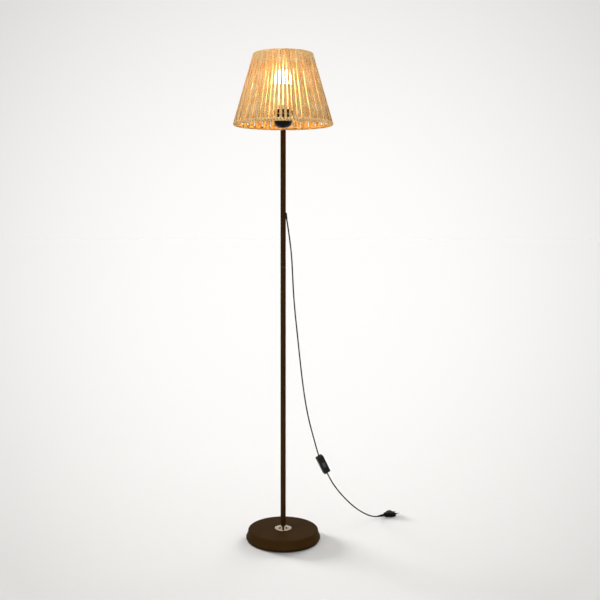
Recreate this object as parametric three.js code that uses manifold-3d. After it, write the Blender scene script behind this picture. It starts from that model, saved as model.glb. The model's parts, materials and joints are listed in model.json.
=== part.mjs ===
// Floor lamp with a rope-wound shade: weighted round base, three-section pole, lampholder and bulb,
// wire shade frame wound with flat jute rope, and a lead with an in-line rocker switch and a plug.
// Millimetres, +Z up, origin at the middle of the underside. The front of the lamp looks along -Y.

import * as THREE from 'three';
import { mergeVertices } from 'three/addons/utils/BufferGeometryUtils.js';
import Module from 'manifold-3d';

const wasm = await Module();
wasm.setup();

// Shared clearances and counts
const seatGap = 0.3; // between pieces that sit on or in each other
const weldDistance = 0.001; // vertices closer than this are one vertex
const cutOverrun = 4; // how far a cutting solid runs past what it cuts
const bigSides = 32;
const poleSides = 20;
const smallSides = 18;
const hiddenSides = 12;
const wireSides = 6;

// Base
const baseRadius = 117;
const baseHeight = 35;
const skirtLean = 6.5; // the shoulder is this much narrower than the foot
const skirtHollow = 0.8; // how far the skirt dips in between foot and shoulder
const footRound = 4;
const shoulderRound = 5;
const coverWall = 1.5;
const coverLift = 1; // lower edge of the cover above the floor
const padThickness = 3;
const padMargin = 2; // between the pad's edge and the inside of the cover
const weightMargin = 13; // between the weight's edge and the foot of the cover
const weightThickness = 12;
const weightBossRadius = 25;
const nutPocketRadius = 18;
const nutPocketDepth = 11.5;
const studRadius = 5;
const studReach = 30; // how far the stud goes up into the pole
const studStub = 0.6; // how far the stud stands out of its nut
const washerRadius = 15;
const washerThickness = 2;
const nutCornerRadius = 9.8;
const nutHeight = 8;

// Chrome rosette where the pole meets the base
const rosetteRadius = 26.5;
const rosetteEdge = 1.2;
const rosetteRise = 5.2;
const rosetteHubRadius = 9.6;
const rosetteWall = 1;

// Pole
const poleRadius = 8.2;
const poleWall = 1;
const sectionLength = 410.2;
const sectionCount = 3;
const insertLength = 34;
const insertFlange = 1.5;
const joinerLength = 46;
const flexBoreRadius = 3.2;

// Neck and lampholder
const nippleRadius = 4.9;
const nippleWall = 1.5;
const nippleDepth = 16; // how far the nipple goes down into the pole
const nippleGrip = 9; // how far it reaches into the lampholder
const neckRadius = 5.8;
const neckHeight = 7.4;
const cupRadius = 26.5;
const cupFlatRadius = 9;
const cupDome = 18.7;
const cupRim = 3.4;
const cupWall = 1.2;
const holderRadius = 19.5;
const holderWall = 3;
const holderLength = 35;
const holderCapHeight = 17.5;
const holderCapRadius = 18;
const holderCapFloor = 3;
const shoulderRadius = 23;
const shoulderThickness = 4;
const shoulderHeight = 16.2; // lower side of the shoulder above the lower end of the holder
const coreThickness = 11;
const coreLift = 4; // underside of the core above the lower end of the holder
const shellRadius = 14.6;
const shellWall = 0.6;
const shellLength = 19.4;
const contactRadius = 4;
const contactHeight = 2.4;
const contactWaist = 2;

// Ring nut that clamps the shade
const ringNutRadius = 28.5;
const ringNutHeight = 9;
const ringNutBevel = 1.5;

// Bulb
const bulbCapRadius = 13.4;
const bulbCapLength = 26;
const bulbCapWall = 0.8;
const bulbTipRadius = 4.8;
const bulbTipHeight = 2.4;
const bulbRadius = 30;
const bulbCollarLength = 60;
const bulbStraightShare = 1 / 6; // straight lower part of the collar
const bulbFlareStart = Math.PI / 8; // angles on the ellipse that the flare follows
const bulbFlareEnd = Math.PI / 2.2;
const bulbNeckRadius = 14;
const bulbWall = 1.5;
const bulbDomeHeight = 46;
const domeWall = 1.2;
const ledBoardThickness = 1.6;

// Shade frame
const bottomRingRadius = 146;
const topRingRadius = 86.2;
const shadeFrameHeight = 202.2; // ring centre to ring centre
const ringWireRadius = 1.7;
const ribWireRadius = 1.2;
const spokeWireRadius = 1.5;
const fitterOuterRadius = 26;
const fitterThickness = 2;
const fitterPlay = 0.8; // radial play on the lampholder
const fitterRise = 28.8; // underside of the fitter above the centre of the bottom ring
const bottomRingSides = 72;
const topRingSides = 54;
const ribCount = 6;
const spokeCount = 3;
const firstSpokeLoop = 3;

// Rope winding
const ropeWidth = 8;
const ropeThickness = 3;
const ropeFlatShare = 0.6; // flat part of the rope's width
const wireToRope = 0.6;
const ropeCount = 3;
const loopsPerRope = 11;
const bottomTurns = 1.5; // turns about the bottom ring in each loop
const topTurns = 0.5;
const bottomSteps = 12; // steps in the turns about the bottom ring
const topSteps = 5;
const openShare = 0.83; // place in a loop, as a share of it, where a wire passes clear of the rope
const leastRopeGap = 0.4;

// Lead: it hangs in an upright plane that is turned back from +X by the swing
const swing = THREE.MathUtils.degToRad(30);
const cordRadius = 2.1;
const cordSides = 8;
const cordStep = 12.5;
const flexStep = 18;
const upperCordRoute = [
  [12.35, 1008.0], [15.2, 992.5], [18.4, 974.5], [22.0, 952.5], [25.5, 929.5], [28.6, 904.5],
  [31.3, 874.5], [33.5, 840.0], [35.7, 800.0], [39.3, 752.0], [44.2, 706.0], [49.8, 660.0],
  [55.9, 610.0], [63.2, 550.0], [70.8, 495.0], [79.7, 440.0], [90.2, 390.0], [102.2, 345.0],
  [116.0, 300.0], [124.3, 273.0], [129.4, 257.6], [132.66, 248.8],
];
const lowerCordRoute = [
  [163.1, 191.35], [168.6, 181.0], [175.5, 168.7], [183.6, 155.4], [194.6, 139.4], [209.0, 121.2],
  [226.2, 101.8], [243.5, 83.7], [261.3, 66.6], [279.0, 51.6], [296.2, 38.8], [311.5, 28.8],
  [325.7, 20.6], [338.0, 14.7], [350.0, 10.3], [360.0, 8.0], [367.0, 7.15], [370.0, 7.0],
];

// Flex inside the pole, with heights above the outlet's mouth
const flexRadius = 2.1;
const flexRoute = [[2.7, 6], [2.5, 14], [1.5, 26], [0.4, 40], [0, 54], [0, 72]];
const flexTopReach = 4; // how far the flex stands up inside the lampholder

// Moulded outlet where the lead leaves the pole
const outletAboveJoint = 146.2; // its mouth above the lower end of the upper section
const outletTopRadius = 3.4;
const outletMouthRadius = 2.7;
const outletLength = 20;
const outletLean = THREE.MathUtils.degToRad(10.4); // from straight down
const outletStubRadius = 3;
const outletStubReach = 2;
const outletStubRoot = 1.8; // how far the stub runs on into the boot
const outletStubRise = 10; // stub above the mouth

// In-line switch: u along the lead, v across, w out of the face
const switchLength = 64;
const switchWidth = 23;
const switchDepth = 18;
const switchCorner = 3.5;
const switchBevel = 1.2;
const switchWall = 1.7;
const switchLean = THREE.MathUtils.degToRad(62.1); // below level
const switchTwist = THREE.MathUtils.degToRad(8);
const rockerRadius = 9.8; // the rocker's ends are arcs about its pin
const rockerWidth = 10;
const rockerPinDrop = 4; // pin below the face
const rockerValley = 3.6; // middle of the rocker's top above the pin
const rockerUnderside = 2.5;
const rockerNoseWidth = 1.6; // the nose under the rocker tips the contact plate
const rockerTopAngle = THREE.MathUtils.degToRad(35);
const rockerRest = THREE.MathUtils.degToRad(8);
const rockerPinRadius = 1;
const rockerSideGap = 0.5;
const plateLength = 16;
const plateWidth = 4;
const plateThickness = 0.8;
const plateDrop = 1; // middle of the contact plate below the split of the shells
const plateRest = THREE.MathUtils.degToRad(5);
const postWidth = 5;
const stripThickness = 1.2;
const stripDrop = 5.4; // upper side of the terminal strips below the split
const terminalLength = 9;
const terminalHeight = 6;
const terminalEnd = 24; // far end of a terminal from the middle of the switch
const contactStud = 1.4;
const screwU = 27;
const screwV = 7;
const screwRadius = 1.3;
const screwHeadRadius = 2.4;
const screwHeadHeight = 1.6;
const screwLength = 11;
const bossRadius = 3.8;

// Plug
const plugLength = 36;
const plugWidth = 35;
const plugThickness = 14;
const plugNeckWidth = 13;
const plugShoulderShare = 0.45; // share of the plug's length that has its full width
const plugBevel = 2;
const pinRadius = 2;
const pinSpacing = 18.6;
const pinLength = 19;
const pinDepth = 5; // how far a pin goes into the plug
const reliefLength = 26;
const reliefRadius = 5;
const reliefTipRadius = 3;

// Materials
function paint(color, roughness, metalness = 0) {
  return new THREE.MeshStandardMaterial({ color, roughness, metalness });
}

const bronzePaint = paint(0x33251a, 0.5, 0.3);
const blackPlastic = paint(0x17171a, 0.5);
const blackFoam = paint(0x1c1b1a, 0.95);
const castIron = paint(0x4a4a4c, 0.8, 0.6);
const plainSteel = paint(0x9a9a9c, 0.4, 0.9);
const chrome = paint(0xd8d6d2, 0.12, 1);
const brass = paint(0xc2a04c, 0.35, 0.9);
const ceramic = paint(0xe6e0d4, 0.6);
const whitePlastic = paint(0xf2efe8, 0.45);
const bulbGlass = paint(0xfff4dc, 0.3);
const jute = paint(0xd3a063, 0.9);
const wirePaint = paint(0xcdb48c, 0.5, 0.2);
const cordBlack = paint(0x2a2724, 0.6);

const group = new THREE.Group();

// Makes one closed surface of a geometry, with its faces pointing out
function weld(geometry) {
  geometry.deleteAttribute('normal');
  geometry.deleteAttribute('uv');
  const merged = mergeVertices(geometry, weldDistance);
  const kept = [];
  const index = merged.index.array;
  for (let i = 0; i < index.length; i += 3) {
    const [a, b, c] = [index[i], index[i + 1], index[i + 2]];
    if (a !== b && b !== c && c !== a) {
      kept.push(a, b, c);
    }
  }
  merged.setIndex(volumeOf(merged, kept) < 0 ? kept.reverse() : kept);
  return merged;
}

function volumeOf(geometry, index) {
  const corner = (i) => new THREE.Vector3().fromBufferAttribute(geometry.attributes.position, index[i]);
  let volume = 0;
  for (let i = 0; i < index.length; i += 3) {
    volume += corner(i).dot(corner(i + 1).cross(corner(i + 2)));
  }
  return volume / 6;
}

function toSolid(geometry) {
  const welded = weld(geometry.clone());
  const vertProperties = new Float32Array(welded.attributes.position.array);
  const triVerts = new Uint32Array(welded.index.array);
  return new wasm.Manifold(new wasm.Mesh({ numProp: 3, vertProperties, triVerts }));
}

function toGeometry(solid) {
  const mesh = solid.getMesh();
  const geometry = new THREE.BufferGeometry();
  geometry.setAttribute('position', new THREE.BufferAttribute(mesh.vertProperties, 3));
  geometry.setIndex(Array.from(mesh.triVerts));
  return geometry;
}

function cut(geometry, ...cutters) {
  return toGeometry(cutters.reduce((solid, cutter) => solid.subtract(toSolid(cutter)), toSolid(geometry)));
}

function join(geometry, ...others) {
  return toGeometry(others.reduce((solid, other) => solid.add(toSolid(other)), toSolid(geometry)));
}

// Adds one named piece
function add(name, geometry, material, parent = group) {
  const mesh = new THREE.Mesh(geometry, material);
  mesh.name = name;
  parent.add(mesh);
  return mesh;
}

// Turns [radius, height] points about the vertical axis
function lathe(profile, sides) {
  const geometry = new THREE.LatheGeometry(profile.map(([r, h]) => new THREE.Vector2(r, h)), sides);
  geometry.rotateX(Math.PI / 2);
  return weld(geometry);
}

function closed(profile) {
  return [...profile, profile[0]];
}

function rod(radius, bottom, top, sides) {
  return lathe([[0, bottom], [radius, bottom], [radius, top], [0, top]], sides);
}

function pipe(inner, outer, bottom, top, sides) {
  return lathe(closed([[inner, bottom], [outer, bottom], [outer, top], [inner, top]]), sides);
}

// Points of an arc from one angle to another, both ends included
function arc(centreR, centreH, radiusR, radiusH, from, to, steps) {
  const points = [];
  for (let i = 0; i <= steps; i += 1) {
    const angle = from + ((to - from) * i) / steps;
    points.push([centreR + radiusR * Math.cos(angle), centreH + radiusH * Math.sin(angle)]);
  }
  return points;
}

// A straight round bar between two points
function bar(from, to, radius, sides) {
  const along = new THREE.Vector3().subVectors(to, from);
  const geometry = new THREE.CylinderGeometry(radius, radius, along.length(), sides);
  geometry.applyQuaternion(
    new THREE.Quaternion().setFromUnitVectors(new THREE.Vector3(0, 1, 0), along.clone().normalize()),
  );
  const middle = new THREE.Vector3().addVectors(from, to).multiplyScalar(1 / 2);
  geometry.translate(middle.x, middle.y, middle.z);
  return weld(geometry);
}

// Heights of the stack, from the floor up
const coverUnderside = baseHeight - coverWall;
const weightBottom = padThickness + seatGap;
const pocketTop = weightBottom + nutPocketDepth;
const washerBottom = pocketTop - seatGap - washerThickness;
const nutBottom = washerBottom - seatGap - nutHeight;
const rosetteBottom = baseHeight + seatGap;
const poleFoot = rosetteBottom + rosetteRise + seatGap;
const sectionStep = sectionLength + seatGap;
const poleTop = poleFoot + sectionCount * sectionStep + insertFlange;
const neckBottom = poleTop + seatGap;
const cupBottom = neckBottom + neckHeight + seatGap;
const capBottom = cupBottom + cupWall + seatGap;
const holderBottom = capBottom + holderCapHeight + seatGap;
const holderTop = holderBottom + holderLength;
const shoulderTop = holderBottom + shoulderHeight + shoulderThickness;
const fitterBottom = shoulderTop + seatGap;
const ringNutBottom = fitterBottom + fitterThickness + seatGap;
const coreTop = holderBottom + coreLift + coreThickness;
const shellBottom = coreTop + seatGap;
const contactTop = coreTop + seatGap + contactHeight;
const bulbTipBottom = contactTop + seatGap;
const bulbCapBottom = bulbTipBottom + bulbTipHeight + seatGap;
const bulbCollarBottom = bulbCapBottom + bulbCapLength + seatGap;
const bulbCollarTop = bulbCollarBottom + bulbCollarLength;
const bottomRingHeight = fitterBottom - fitterRise;
const topRingHeight = bottomRingHeight + shadeFrameHeight;
const outletMouthHeight = poleFoot + (sectionCount - 1) * sectionStep + outletAboveJoint;

// Outline of the cover from its foot to its centre, set in from the outside by the inset
function coverOutline(inset) {
  const shoulderRadiusHere = baseRadius - skirtLean;
  const skirtTop = baseHeight - shoulderRound;
  const middleRadius = baseRadius - skirtLean / 2 - skirtHollow;
  return [
    [baseRadius - footRound / 4 - inset, coverLift],
    [baseRadius - inset, coverLift + footRound],
    [middleRadius - inset, (footRound + skirtTop) / 2],
    ...arc(
      shoulderRadiusHere - shoulderRound, skirtTop,
      shoulderRound - inset, shoulderRound - inset, 0, Math.PI / 2, 3,
    ),
    [studRadius + seatGap, baseHeight - inset],
  ];
}

function makeBase() {
  const pad = baseRadius - coverWall - padMargin;
  add('base_pad', pipe(nutPocketRadius, pad, 0, padThickness, bigSides), blackFoam);
  const cover = lathe(closed([...coverOutline(0), ...coverOutline(coverWall).reverse()]), bigSides);
  add('base_cover', cover, bronzePaint);
  const bore = studRadius + seatGap;
  const weight = lathe(closed([
    [bore, pocketTop],
    [nutPocketRadius, pocketTop],
    [nutPocketRadius, weightBottom],
    [baseRadius - weightMargin, weightBottom],
    [baseRadius - weightMargin, weightBottom + weightThickness],
    [weightBossRadius, weightBottom + weightThickness],
    [weightBossRadius, coverUnderside - seatGap],
    [bore, coverUnderside - seatGap],
  ]), bigSides);
  add('base_weight', weight, castIron);
  const washer = pipe(bore, washerRadius, washerBottom, washerBottom + washerThickness, smallSides);
  add('base_washer', washer, plainSteel);
  const nut = rod(nutCornerRadius, nutBottom, nutBottom + nutHeight, wireSides);
  const thread = rod(bore, nutBottom - cutOverrun, nutBottom + nutHeight + cutOverrun, hiddenSides);
  add('base_nut', cut(nut, thread), plainSteel);
  add('base_stud', rod(studRadius, nutBottom - studStub, poleFoot + studReach, hiddenSides), plainSteel);
}

// A shallow dome of sheet metal with a flat hub that carries the pole
function makeRosette() {
  const outline = (inset) => [
    [rosetteRadius - inset, rosetteBottom],
    ...arc(
      rosetteHubRadius, rosetteBottom + rosetteEdge,
      rosetteRadius - rosetteHubRadius - inset, rosetteRise - rosetteEdge - inset, 0, Math.PI / 2, 4,
    ),
    [studRadius + seatGap, rosetteBottom + rosetteRise - inset],
  ];
  add('rosette', lathe(closed([...outline(0), ...outline(rosetteWall).reverse()]), poleSides), chrome);
}

function makePole() {
  const bore = poleRadius - poleWall;
  const insertRadius = bore - seatGap;
  const outlet = outletPlace(outletStubRise);
  ['pole_lower', 'pole_middle', 'pole_upper'].forEach((name, i) => {
    const bottom = poleFoot + i * sectionStep;
    const top = bottom + sectionLength;
    const tube = pipe(bore, poleRadius, bottom, top, poleSides);
    const hasOutlet = outlet.z > bottom && outlet.z < top;
    add(name, hasOutlet ? cut(tube, stubBar(outletStubRadius + seatGap, cutOverrun)) : tube, bronzePaint);
  });
  const studBore = studRadius + seatGap;
  const insertBottom = poleFoot + seatGap;
  const footInsert = pipe(studBore, insertRadius, insertBottom, insertBottom + insertLength, hiddenSides);
  add('foot_insert', footInsert, plainSteel);
  ['joiner_lower', 'joiner_upper'].forEach((name, i) => {
    const middle = poleFoot + (i + 1) * sectionStep;
    const half = joinerLength / 2;
    add(name, pipe(flexBoreRadius, insertRadius, middle - half, middle + half, hiddenSides), plainSteel);
  });
  const nippleBore = nippleRadius + seatGap;
  const flangeBottom = poleTop - insertFlange;
  const topInsert = lathe(closed([
    [nippleBore, flangeBottom - insertLength],
    [insertRadius, flangeBottom - insertLength],
    [insertRadius, flangeBottom],
    [poleRadius, flangeBottom],
    [poleRadius, poleTop],
    [nippleBore, poleTop],
  ]), poleSides);
  add('top_insert', topInsert, bronzePaint);
}

// A point of the lead's plane, at a reach from the pole's axis and a height
function inCordPlane([reach, height]) {
  return new THREE.Vector3(reach * Math.cos(swing), reach * Math.sin(swing), height);
}

// A point of the upper lead, whose heights stretch with the pole between the outlet and the switch
function onUpperLead([reach, height]) {
  const [, top] = upperCordRoute[0];
  const [, end] = upperCordRoute[upperCordRoute.length - 1];
  const stretch = (outletMouthHeight - end) / (top - end);
  return inCordPlane([reach, end + (height - end) * stretch]);
}

// A point on the outlet's axis, at a distance back from its mouth
function outletPlace(back) {
  const [mouthReach] = upperCordRoute[0];
  const fromMouth = back + seatGap;
  const reach = mouthReach - fromMouth * Math.sin(outletLean);
  return inCordPlane([reach, outletMouthHeight + fromMouth * Math.cos(outletLean)]);
}

// A level round bar along the radius on which the lead leaves the pole
function stubBar(radius, beyond) {
  const { z } = outletPlace(outletStubRise);
  const outside = inCordPlane([poleRadius + beyond, z]);
  return bar(inCordPlane([poleRadius - poleWall - outletStubReach, z]), outside, radius, hiddenSides);
}

function makeOutlet() {
  const boot = new THREE.CylinderGeometry(outletTopRadius, outletMouthRadius, outletLength, smallSides);
  boot.rotateX(Math.PI / 2);
  boot.rotateY(-outletLean);
  boot.rotateZ(swing);
  const middle = outletPlace(outletLength / 2);
  boot.translate(middle.x, middle.y, middle.z);
  const clearOfPole = poleRadius + seatGap;
  const pole = rod(clearOfPole, middle.z - outletLength, middle.z + outletLength, poleSides);
  add('cord_outlet', join(cut(boot, pole), stubBar(outletStubRadius, outletStubRoot)), blackPlastic);
}

function makeNeck() {
  const nippleBottom = poleTop - nippleDepth;
  const nippleTop = capBottom + nippleGrip;
  const nippleBore = nippleRadius - nippleWall;
  add('neck_nipple', pipe(nippleBore, nippleRadius, nippleBottom, nippleTop, hiddenSides), plainSteel);
  const bore = nippleRadius + seatGap;
  add('neck_collar', pipe(bore, neckRadius, neckBottom, neckBottom + neckHeight, smallSides), chrome);
}

function makeHolder() {
  const bore = nippleRadius + seatGap;
  const cupOutline = (inset) => [
    [bore, cupBottom + inset],
    ...arc(
      cupFlatRadius, cupBottom + cupDome, cupRadius - cupFlatRadius - inset, cupDome - inset,
      -Math.PI / 2, 0, 5,
    ),
    [cupRadius - inset, cupBottom + cupDome + cupRim],
  ];
  const cup = lathe(closed([...cupOutline(0), ...cupOutline(cupWall).reverse()]), poleSides);
  add('holder_cup', cup, blackPlastic);
  const capTop = capBottom + holderCapHeight;
  const capBore = holderCapRadius - holderWall;
  const cap = lathe(closed([
    [bore, capBottom],
    [cupFlatRadius, capBottom],
    [holderCapRadius, capBottom + holderCapHeight / 2],
    [holderCapRadius, capTop],
    [capBore, capTop],
    [capBore, capBottom + holderCapHeight / 2 + holderCapFloor],
    [cupFlatRadius, capBottom + holderCapFloor],
    [bore, capBottom + holderCapFloor],
  ]), smallSides);
  add('holder_cap', cap, blackPlastic);
  const inner = holderRadius - holderWall;
  const body = lathe(closed([
    [inner, holderBottom],
    [holderRadius, holderBottom],
    [holderRadius, shoulderTop - shoulderThickness],
    [shoulderRadius, shoulderTop - shoulderThickness],
    [shoulderRadius, shoulderTop],
    [holderRadius, shoulderTop],
    [holderRadius, holderTop],
    [inner, holderTop],
  ]), smallSides);
  add('holder_body', body, blackPlastic);
  const core = pipe(flexBoreRadius, inner - seatGap, holderBottom + coreLift, coreTop, hiddenSides);
  add('socket_core', core, ceramic);
  const shellTop = shellBottom + shellLength;
  add('screw_shell', pipe(shellRadius - shellWall, shellRadius, shellBottom, shellTop, smallSides), brass);
  const contactBottom = coreTop + seatGap;
  const contact = lathe([
    [0, contactBottom],
    [contactRadius, contactBottom],
    [contactWaist, contactBottom + contactHeight / 2],
    [contactRadius / 2, contactTop],
    [0, contactTop],
  ], hiddenSides);
  add('centre_contact', contact, brass);
}

function makeRingNut() {
  const top = ringNutBottom + ringNutHeight;
  const nut = lathe(closed([
    [holderRadius + seatGap, ringNutBottom],
    [ringNutRadius, ringNutBottom],
    [ringNutRadius, top - ringNutBevel],
    [ringNutRadius - ringNutBevel, top],
    [holderRadius + seatGap, top],
  ]), smallSides);
  add('ring_nut', nut, blackPlastic);
}

function makeBulb() {
  const capTop = bulbCapBottom + bulbCapLength;
  const cap = pipe(bulbCapRadius - bulbCapWall, bulbCapRadius, bulbCapBottom, capTop, smallSides);
  add('bulb_cap', cap, plainSteel);
  add('bulb_tip', lathe([
    [0, bulbTipBottom],
    [bulbTipRadius / 2, bulbTipBottom],
    [bulbTipRadius, bulbTipBottom + bulbTipHeight],
    [0, bulbTipBottom + bulbTipHeight],
  ], hiddenSides), brass);
  const straight = bulbCollarLength * bulbStraightShare;
  const collarOutline = (inset) => [
    [bulbNeckRadius - inset, bulbCollarBottom],
    [bulbNeckRadius - inset, bulbCollarBottom + straight],
    ...arc(
      bulbRadius, bulbCollarBottom + straight, bulbNeckRadius - bulbRadius - inset,
      bulbCollarLength - straight - inset, bulbFlareStart, bulbFlareEnd, 3,
    ),
    [bulbRadius - inset, bulbCollarTop],
  ];
  const collar = lathe(closed([...collarOutline(0), ...collarOutline(bulbWall).reverse()]), smallSides);
  add('bulb_collar', collar, whitePlastic);
  const boardBottom = bulbCollarTop + seatGap;
  const boardRadius = bulbRadius - domeWall - seatGap;
  add('led_board', rod(boardRadius, boardBottom, boardBottom + ledBoardThickness, smallSides), whitePlastic);
  const domeOutline = (inset) => arc(
    0, boardBottom, bulbRadius - inset, bulbDomeHeight - inset, 0, Math.PI / 2, 5,
  );
  const dome = lathe(closed([...domeOutline(0), ...domeOutline(domeWall).reverse()]), smallSides);
  add('bulb_dome', dome, bulbGlass);
}

// The rope winding: every loop comes down outside, turns about the bottom ring, goes up inside and
// over the top ring, so outside and inside strands stand alternately round the shade
const loopCount = ropeCount * loopsPerRope;
const loopAngle = (2 * Math.PI) / loopCount;
const coneLean = Math.atan2(bottomRingRadius - topRingRadius, shadeFrameHeight);
const wrapRadius = ringWireRadius + wireToRope + ropeThickness / 2;
const frontStrandAngle = -Math.PI / 2 + loopAngle / 4; // the front has a slit in its middle

// A place on the winding: an angle round the lamp, and an angle about a ring's wire
function onRing(ringRadius, ringHeight, around, about) {
  const outward = new THREE.Vector3(Math.cos(around), Math.sin(around), 0);
  const up = new THREE.Vector3(0, 0, 1);
  const out = outward.clone().multiplyScalar(Math.cos(about)).addScaledVector(up, Math.sin(about));
  const centre = outward.clone().multiplyScalar(ringRadius).addScaledVector(up, ringHeight);
  return { centre: centre.addScaledVector(out, wrapRadius), out };
}

function onBottomRing(around, turned) {
  return onRing(bottomRingRadius, bottomRingHeight, around, coneLean - 2 * Math.PI * turned);
}

function onTopRing(around, turned) {
  return onRing(topRingRadius, topRingHeight, around, coneLean + Math.PI - 2 * Math.PI * turned);
}

function ropePlaces(rope) {
  const places = [];
  for (let loop = 0; loop < loopsPerRope; loop += 1) {
    const outside = frontStrandAngle + (rope * loopsPerRope + loop) * loopAngle;
    for (let i = loop === 0 ? Math.ceil(topSteps / 2) : 0; i <= topSteps; i += 1) {
      places.push(onTopRing(outside - (loopAngle / 2) * (1 - i / topSteps), (topTurns * i) / topSteps));
    }
    for (let i = 0; i <= bottomSteps; i += 1) {
      const share = i / bottomSteps;
      places.push(onBottomRing(outside + (loopAngle / 2) * share, bottomTurns * share));
    }
  }
  const lastInside = frontStrandAngle + ((rope + 1) * loopsPerRope - 1 / 2) * loopAngle;
  places.push(onTopRing(lastInside, 0));
  return places;
}

// Corners of the rope's flat six-sided section at a place on its path
function ropeSection(places, i) {
  const before = places[Math.max(i - 1, 0)].centre;
  const after = places[Math.min(i + 1, places.length - 1)].centre;
  const here = places[i].centre;
  const come = here.clone().sub(before).normalize();
  const go = after.clone().sub(here).normalize();
  const along = come.add(go).normalize();
  const across = along.clone().cross(places[i].out).normalize();
  const out = across.clone().cross(along).normalize();
  const half = ropeWidth / 2;
  const flat = half * ropeFlatShare;
  const rise = ropeThickness / 2;
  const corners = [[half, 0], [flat, rise], [-flat, rise], [-half, 0], [-flat, -rise], [flat, -rise]];
  return corners.map(([a, b]) => here.clone().addScaledVector(across, a).addScaledVector(out, b));
}

function tubeOf(sections) {
  const sides = sections[0].length;
  const last = (sections.length - 1) * sides;
  const index = [];
  for (let i = 0; i < sections.length - 1; i += 1) {
    for (let j = 0; j < sides; j += 1) {
      const a = i * sides + j;
      const b = i * sides + ((j + 1) % sides);
      index.push(a, b, b + sides, a, b + sides, a + sides);
    }
  }
  for (let j = 1; j < sides - 1; j += 1) {
    index.push(0, j + 1, j, last, last + j, last + j + 1);
  }
  const geometry = new THREE.BufferGeometry();
  geometry.setAttribute(
    'position',
    new THREE.Float32BufferAttribute(sections.flat().flatMap((p) => p.toArray()), 3),
  );
  geometry.setIndex(index);
  return weld(geometry);
}

// Least distance between surface points of two passes of one rope
function selfGap(sections) {
  const samples = [];
  for (let i = 0; i < sections.length - 1; i += 1) {
    const long = sections[i][0].distanceTo(sections[i + 1][0]);
    const parts = Math.ceil(long / ropeWidth);
    for (let k = 0; k < parts; k += 1) {
      sections[i].forEach((p, j) => {
        samples.push({ at: i + k / parts, point: p.clone().lerp(sections[i + 1][j], k / parts) });
      });
    }
  }
  const apart = bottomSteps / bottomTurns / 2 + 1;
  let least = Infinity;
  for (let a = 0; a < samples.length; a += 1) {
    for (let b = a + 1; b < samples.length; b += 1) {
      if (samples[b].at - samples[a].at > apart) {
        least = Math.min(least, samples[a].point.distanceTo(samples[b].point));
      }
    }
  }
  return least;
}

function makeRopes() {
  for (let rope = 0; rope < ropeCount; rope += 1) {
    const places = ropePlaces(rope);
    const sections = places.map((_, i) => ropeSection(places, i));
    const gap = selfGap(sections);
    console.log(`rope_${rope + 1}: least gap to itself ${gap.toFixed(2)} mm, wanted over ${leastRopeGap}`);
    add(`rope_${rope + 1}`, tubeOf(sections), jute);
  }
}

// Angle round the lamp at which a wire passes clear of the rope, in the loop with this number
function openAngle(loop) {
  return frontStrandAngle + (loop + openShare) * loopAngle;
}

function makeShadeFrame() {
  const section = (ringRadius, height) => closed(
    arc(ringRadius, height, ringWireRadius, ringWireRadius, Math.PI / 6, Math.PI * 11 / 6, wireSides - 1),
  );
  add('top_ring', lathe(section(topRingRadius, topRingHeight), topRingSides), wirePaint);
  add('bottom_ring', lathe(section(bottomRingRadius, bottomRingHeight), bottomRingSides), wirePaint);
  const fitterBore = holderRadius + fitterPlay;
  const fitterTop = fitterBottom + fitterThickness;
  const fitter = pipe(fitterBore, fitterOuterRadius, fitterBottom, fitterTop, smallSides);
  add('fitter_ring', fitter, wirePaint);
  const at = (radius, angle, height) => new THREE.Vector3(
    radius * Math.cos(angle), radius * Math.sin(angle), height,
  );
  const clear = ringWireRadius + seatGap;
  for (let i = 0; i < ribCount; i += 1) {
    const angle = openAngle(Math.round((i * loopCount) / ribCount));
    const low = at(bottomRingRadius, angle, bottomRingHeight);
    const high = at(topRingRadius, angle, topRingHeight);
    const inset = high.clone().sub(low).normalize().multiplyScalar(clear);
    add(`rib_${i + 1}`, bar(low.add(inset), high.sub(inset), ribWireRadius, wireSides), wirePaint);
  }
  for (let i = 0; i < spokeCount; i += 1) {
    const angle = openAngle(firstSpokeLoop + (i * loopCount) / spokeCount);
    const inner = at(fitterOuterRadius + seatGap, angle, fitterBottom);
    const outer = at(bottomRingRadius, angle, bottomRingHeight);
    const inset = inner.clone().sub(outer).normalize().multiplyScalar(clear);
    add(`spoke_${i + 1}`, bar(inner, outer.add(inset), spokeWireRadius, wireSides), wirePaint);
  }
}

// A round cord along points, as a swept solid
function cordSolid(points, radius, step) {
  const path = new THREE.CatmullRomCurve3(points, false, 'centripetal');
  const shape = new THREE.Shape();
  for (let i = 0; i < cordSides; i += 1) {
    const angle = (2 * Math.PI * i) / cordSides;
    const corner = [radius * Math.cos(angle), radius * Math.sin(angle)];
    if (i === 0) {
      shape.moveTo(...corner);
    } else {
      shape.lineTo(...corner);
    }
  }
  shape.closePath();
  const steps = Math.round(path.getLength() / step);
  return weld(new THREE.ExtrudeGeometry(shape, { steps, extrudePath: path, bevelEnabled: false }));
}

function makeCords() {
  add('cord_upper', cordSolid(upperCordRoute.map(onUpperLead), cordRadius, cordStep), cordBlack);
  add('cord_lower', cordSolid(lowerCordRoute.map(inCordPlane), cordRadius, cordStep), cordBlack);
  const flexTop = [0, holderBottom + coreLift + flexTopReach];
  const flexPoints = flexRoute.map(([reach, rise]) => [reach, outletMouthHeight + rise]);
  add('inner_flex', cordSolid([...flexPoints, flexTop].map(inCordPlane), flexRadius, flexStep), cordBlack);
}

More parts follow.
